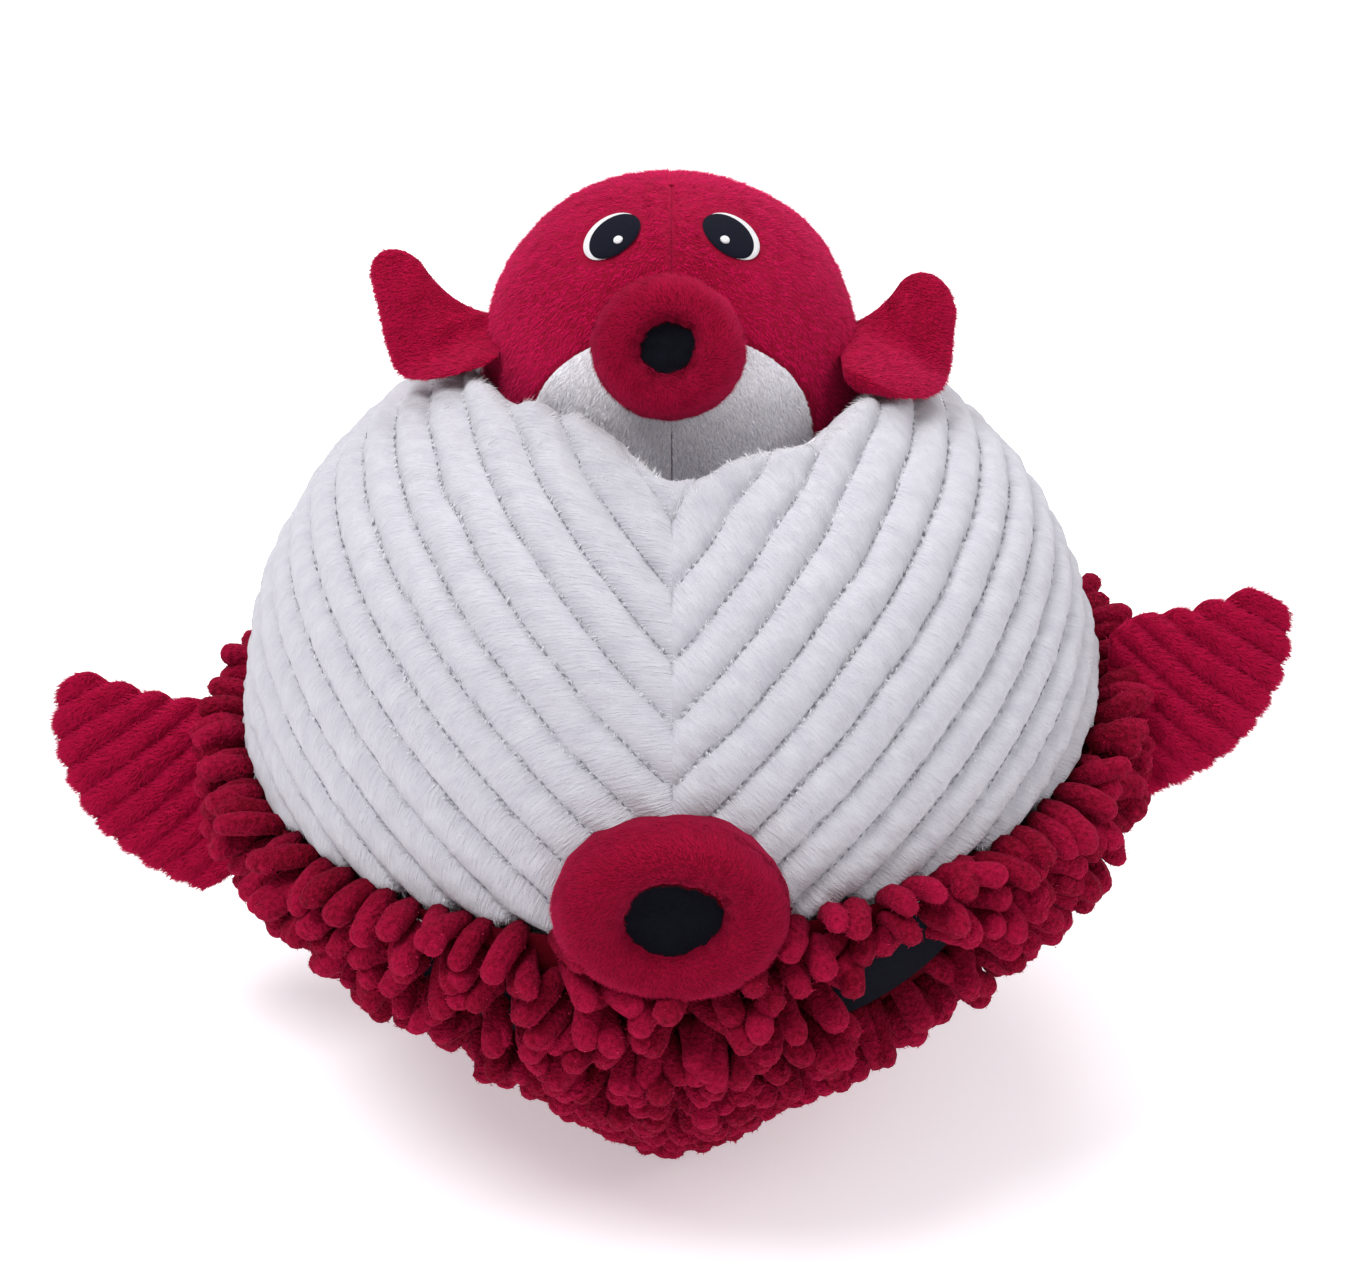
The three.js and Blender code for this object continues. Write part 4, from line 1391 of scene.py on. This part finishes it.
# The fold is at x = 0, and the root runs on inwards. A leaf has a full lower edge.
LEAF = outline(
    (-13, -24),
    [(-6, -31), (0, -32)],
    [(36, -20), (47, 10)],
    [(54, 28), (50, 44), (36, 41)],
    [(16, 34), (0, 32)],
    [(-6, 31), (-13, 24)],
    [(-15, 0), (-13, -24)],
)
# The baby's fins are mittens. The left one has its tip raised, and the right one lies lower and is rounder.
LEFT_MITTEN = outline(
    (-9, -12),
    [(-4, -16), (0, -16)],
    [(12, -20), (21, -17)],
    [(28, -14), (28, -3), (33, 16)],
    [(34, 26), (24, 28), (17, 21)],
    [(10, 10), (0, 6)],
    [(-5, 4), (-9, 4)],
    [(-10, -4), (-9, -12)],
    last_steps=14,
)
RIGHT_MITTEN = outline(
    (-10, -16),
    [(-8, -22), (0, -22)],
    [(13, -25), (21, -20)],
    [(28, -14), (26, -4), (28, 5)],
    [(28, 20), (16, 24), (10, 17)],
    [(5, 9), (-3, 5)],
    [(-8, 2), (-10, 0)],
    [(-11, -8), (-10, -16)],
    last_steps=14,
)


def even(edge, count):
    """The same closed outline with its points at equal distances."""
    closed = np.concatenate([edge, edge[:1]])
    run = np.concatenate([[0], np.cumsum(np.linalg.norm(np.diff(closed, axis=0), axis=1))])
    where = np.linspace(0, run[-1], count, endpoint=False)
    return stack(np.interp(where, run, closed[:, 0]), np.interp(where, run, closed[:, 1]))


# %% Padded fins
FIN_RIB = 11.5 * MM
LIFT_STEPS = 20


def fin_ribs(x, y):
    """Ribs past a first line. The lines leave the root steeply and flatten towards the outer edge."""
    return (y + 0.95 * x - 5 * x * x) / FIN_RIB + 0.35


def fin_points(edge, centre, half, ribbed, seed):
    """Front and back of the pad. Height is half times the root of 1 - r^2.6, less the grooves and a dip along
    the fold. Each groove pulls the outline in a little, which makes it scalloped."""
    share = np.concatenate([np.linspace(0, 1, 40), np.linspace(1, 0, 40)[1:]])
    front = (np.arange(79) < 40) * 2 - 1
    flat = centre + (edge[:, None] - centre) * share[:, None]
    crown = np.sqrt(np.maximum(1 - share**2.6, 0)) * np.ones(flat.shape[:2])
    height = half * crown
    if ribbed:
        ribs = rib_height(fin_ribs(flat[..., 0], flat[..., 1]))
        height = height - 2.6 * MM * (1 - ribs) * smooth_step(0, 0.5, crown) + 0.8 * MM * ribs * crown
        pull = 1 - 0.09 * (1 - ribs) * share**4 * smooth_step(0, 8 * MM, flat[..., 0])
        flat = centre + (flat - centre) * pull[..., None]
    height = height + 0.5 * MM * soft_noise(flat, 16 * MM, seed) * crown
    height = height - 0.6 * MM * smooth_step(6 * MM, -2 * MM, np.abs(flat[..., 0] - 3 * MM)) * crown
    return flat, height * front, fin_ribs(flat[..., 0], flat[..., 1])


def lifted_clear(middle, front, lift, room):
    """The lift along front that leaves a fin room proud of the mother. Each step takes half of the depth that
    is still sunk, and the change is eased in over 9 mm."""
    touch = lift
    for _ in range(LIFT_STEPS):
        offset = middle + touch * front - MOTHER.middle
        surface = MOTHER.hit(unit(offset), room) - MOTHER.middle
        sunk = np.linalg.norm(surface, axis=-1) - np.linalg.norm(offset, axis=-1)
        touch = np.clip(touch + 0.5 * sunk[..., None], -30 * MM, 30 * MM)
    more = touch - lift
    return lift + (more + np.hypot(more, 9 * MM)) / 2


def place_fin(name, fold, slope, sign, edge, centre, half, ribbed, bend, seed, finish, room=0.0):
    """X across, Y up the fin's slope and Z out of its front. Bend curls the tip towards the front."""
    flat, rise, ribs = fin_points(edge, centre, half, ribbed, seed)
    s = np.radians(slope)
    along = np.array([0, np.sin(s), np.cos(s)])
    front = np.array([0, -np.cos(s), np.sin(s)])
    x = flat[..., :1]
    middle = fold + sign * x * [1, 0, 0] + flat[..., 1:] * along
    lift = bend * np.maximum(x, 0) ** 2
    if room:
        lift = lifted_clear(middle, front, lift, room)
    points = middle + (lift + rise[..., None]) * front
    uv = np.stack([ribs * FIN_RIB, flat[..., 0]], -1)
    return make_piece(name, points, carried(points, True), finish, uv=uv), points


def fin_pile(name, points, sign, face, count, length, seed):
    """Hair on the front, face 1, or the back, face -1, of a fin. It is combed outwards and down."""
    surface = points[:, :40] if face > 0 else points[:, 39:]
    outward = grid_normals(surface)
    outward = outward * np.sign((outward * [0, -1, 0.6]).sum(-1).mean()) * face
    combed = laid_flat(unit(np.array([sign * 0.9, 0, -0.5])), outward)
    lengths = np.full(surface.shape[:2], length)
    return pile(name, surface, outward, combed, count, lengths, 0.34 * MM, RED_PILE, seed)


def fold_of(fin):
    """The place of a fin's joint."""
    return np.array(next(j["pos_m"] for j in frame["joints"] if j["name"] == f"{fin}_flap"))


def sewn_on(piece, owner, fin, sign, reach, slot, *nodes, fill=None):
    """The piece's place is baked in, and it rides on no body. The span from reach[0] inside the fold to
    reach[1] outside it is worked out but not used.
    """
    start, end = fold_of(fin) - [sign * reach[0], 0, 0], fold_of(fin) + [sign * reach[1], 0, 0]
    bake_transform(piece)
    finished(piece, None, slot, *nodes, fill=fill)


def sewn_piles(fin, points, owner, sign, reach, slot, count, length, seed):
    """The pile on both faces of a fin."""
    for face, turned in (("front", 1), ("back", -1)):
        number = seed + turned + 5 * sign
        hair = fin_pile(f"{fin}_{face}_pile", points, sign, turned, count, length, number)
        sewn_on(hair, owner, fin, sign, reach, slot)


# %% The mother's fins
MOTHER_FIN_SLOPE = 33
MOTHER_REACH = (8 * MM, 4 * MM)
LEAF_SIZE = {"left": 1.0, "right": 0.95}
LEAF_RISE = {"left": 0.0, "right": 7 * MM}
LEAF_CENTRE = np.array([20, 6]) * MM
CORE_SHARE = 0.84
for side, sign in SIDES:
    fin = f"fin_{side}"
    place = (fold_of(fin), MOTHER_FIN_SLOPE, sign)
    leaf = even(LEAF, 190) * LEAF_SIZE[side] + [0, LEAF_RISE[side]]
    shape = (LEAF_CENTRE, 5.6 * MM, True, 1.0, 61 + sign)
    pad, points = place_fin(f"{fin}_pad", *place, leaf, *shape, FIN_PLUSH)
    sewn_on(pad, "mother", fin, sign, MOTHER_REACH, "ribbed_plush", f"{fin}_upper", f"{fin}_lower", fill=0.6)
    sewn_piles(fin, points, "mother", sign, MOTHER_REACH, "ribbed_plush", 12000, 2.4 * MM, 100)
    core = LEAF_CENTRE + CORE_SHARE * (leaf - LEAF_CENTRE)
    shape = (LEAF_CENTRE, 2.2 * MM, False, 1.0, 61 + sign)
    fibre, _ = place_fin(f"{fin}_filling_fibre", *place, core, *shape, STUFFING)
    sewn_on(fibre, "mother", fin, sign, MOTHER_REACH, "stuffing", f"{fin}_filling", fill=0.6)

# %% The baby's fins
BABY_FIN_SLOPE = 30
BABY_REACH = (6 * MM, 2 * MM)
MITTEN_CENTRE = np.array([13, 0]) * MM
MITTEN_INWARDS, MITTEN_ROOM = 2.2 * MM, 5.5 * MM
for (side, sign), mitten in zip(SIDES, (LEFT_MITTEN, RIGHT_MITTEN), strict=True):
    fin = f"baby_fin_{side}"
    place = (fold_of(fin), BABY_FIN_SLOPE, sign, even(mitten, 150) - [MITTEN_INWARDS, 0])
    shape = (MITTEN_CENTRE, 4.6 * MM, False, 2.0, 71 + sign)
    pad, points = place_fin(f"{fin}_pad", *place, *shape, RED_PLUSH, room=MITTEN_ROOM)
    sewn_on(pad, "baby", fin, sign, BABY_REACH, "smooth_plush", f"{fin}_front", f"{fin}_back", fill=0.6)
    sewn_piles(fin, points, "baby", sign, BABY_REACH, "smooth_plush", 4500, 1.6 * MM, 120)

# %% [markdown]
# ## What is inside
# The stuffing and the pellet bag never show, but they are part of the toy. The fins have theirs already. Each
# of the others starts as a copy of its CAD solid, is remeshed evenly, and gets the lumps of loose fibre, all
# of them inwards.


# %% Stuffing
def outside_pouch(point):
    """Points that stand in the way of the drooping lining are pushed out to just behind it."""
    x, y = point[:, 0], point[:, 1] - POUCH_Y
    turn, reach = np.arctan2(x, -y), np.hypot(x, y)
    rim = MOTHER.height(point[:, 0], point[:, 1])
    droop = sag(turn) * smooth_step(-50 * MM, -5 * MM, point[:, 2] - rim)
    behind = pouch_reach(turn, POUCH_CLOTH + 1 * MM + droop)
    held = (point[:, 2] > POUCH_FLOOR - POUCH_CLOTH) & (reach > 0.9 * POUCH_RADIUS)
    grow = np.where(held, np.maximum(behind / reach, 1), 1)
    return stack(x * grow, POUCH_Y + y * grow, point[:, 2])


def filling(node, body, slot, finish, voxel, lump, size):
    """A remeshed copy of a CAD solid whose points move inwards by up to lump."""
    source = bpy.data.objects.new(f"{node}_fibre", frame["nodes"][node].data.copy())
    bpy.context.scene.collection.objects.link(source)
    source.data.transform(frame["nodes"][node].matrix_world)
    work = bmesh.new()
    work.from_mesh(source.data)
    bmesh.ops.remove_doubles(work, verts=work.verts, dist=1e-5)
    work.to_mesh(source.data)
    work.free()
    remesh = source.modifiers.new("even", "REMESH")
    remesh.mode = "VOXEL"
    remesh.voxel_size = voxel
    mesh = bpy.data.meshes.new_from_object(source.evaluated_get(bpy.context.evaluated_depsgraph_get()))
    source.modifiers.clear()
    source.data = mesh
    place, normal = vertex_values(mesh, "co"), vertex_values(mesh, "normal")
    lumps = lump * (0.5 + 0.3 * soft_noise(place, size, 81))
    place = place - normal * np.clip(lumps, 0.1 * lump, lump)[:, None]
    if node == "body_filling":
        place = outside_pouch(place)
    mesh.vertices.foreach_set("co", place.ravel())
    mesh.shade_smooth()
    mesh.materials.clear()
    mesh.materials.append(finish)
    print(f"{source.name}: {len(mesh.vertices)} points")
    finished(source, body, slot, node, fill=0.7)


# Each row is a CAD node, its body, slot and finish, the mesh's step, the lumps' depth and their size.
FILLINGS = (
    ("body_filling", "mother", "stuffing", STUFFING, 5 * MM, 3 * MM, 25 * MM),
    ("base_pellet_bag", "mother", "pellet_bag", COTTON, 4 * MM, 2 * MM, 9 * MM),
    ("mouth_filling", "mother", "stuffing", STUFFING, 2 * MM, 2.6 * MM, 9 * MM),
    ("baby_filling", "baby", "stuffing", STUFFING, 4 * MM, 1.5 * MM, 20 * MM),
    ("baby_mouth_filling", "baby", "stuffing", STUFFING, 1.5 * MM, 2.2 * MM, 7 * MM),
)
for row in FILLINGS:
    filling(*row)

# %% [markdown]
# ## The label
# A blank ribbon, folded double, hangs from the seam at the back.

# %% Care label
label_low, label_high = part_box("care_label")
RIBBON_THICK = 0.4 * MM
RIBBON_BEND = 0.9 * MM
RIBBON_BULGE = 11 * MM


def care_label():
    """A thin strip carried down, round a small bend and up again. It bulges out over the noodles."""
    width = label_high.x - label_low.x
    tall = label_high.z - label_low.z
    bend = RIBBON_BEND
    run = np.linspace(0, 1, 30)
    turn = np.linspace(0, np.pi, 9)[1:-1]
    drop = np.concatenate([run * (tall - bend), tall - bend + bend * np.sin(turn), (tall - bend) * run[::-1]])
    depth = np.concatenate([0 * run + bend, bend * np.cos(turn), 0 * run - bend])
    path = np.stack([depth, -drop], -1)
    way = unit(np.gradient(path, axis=0))
    side = np.stack([way[:, 1], -way[:, 0]], -1)
    around = np.linspace(-0.5, 0.5, 13)
    across = np.concatenate([around, around[::-1]]) * width
    face = np.concatenate([np.ones(13), -np.ones(13)]) * RIBBON_THICK / 2
    flat = path[:, None] + side[:, None] * face[:, None]
    curl = 1.4 * MM * (across / width * 2) ** 2 * (drop / tall)[:, None]
    middle_y = (label_low.y + label_high.y) / 2
    outward = RIBBON_BULGE * np.sin(drop / tall * 1.7)[:, None]
    return stack(across[None, :], middle_y + flat[..., 0] + curl + outward, label_high.z + flat[..., 1])


label_points = care_label()
label = make_piece("care_label_ribbon", label_points, carried(label_points), RIBBON)
finished(label, "mother", "label_ribbon", "care_label")

# %% [markdown]
# ## The box
# The cloth may stand a little proud of the CAD model, and the script prints the box of the pieces it shows.

# %% Sizes and the end
low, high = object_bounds()
print("visual box", [round(v, 4) for v in (*low, *high)])
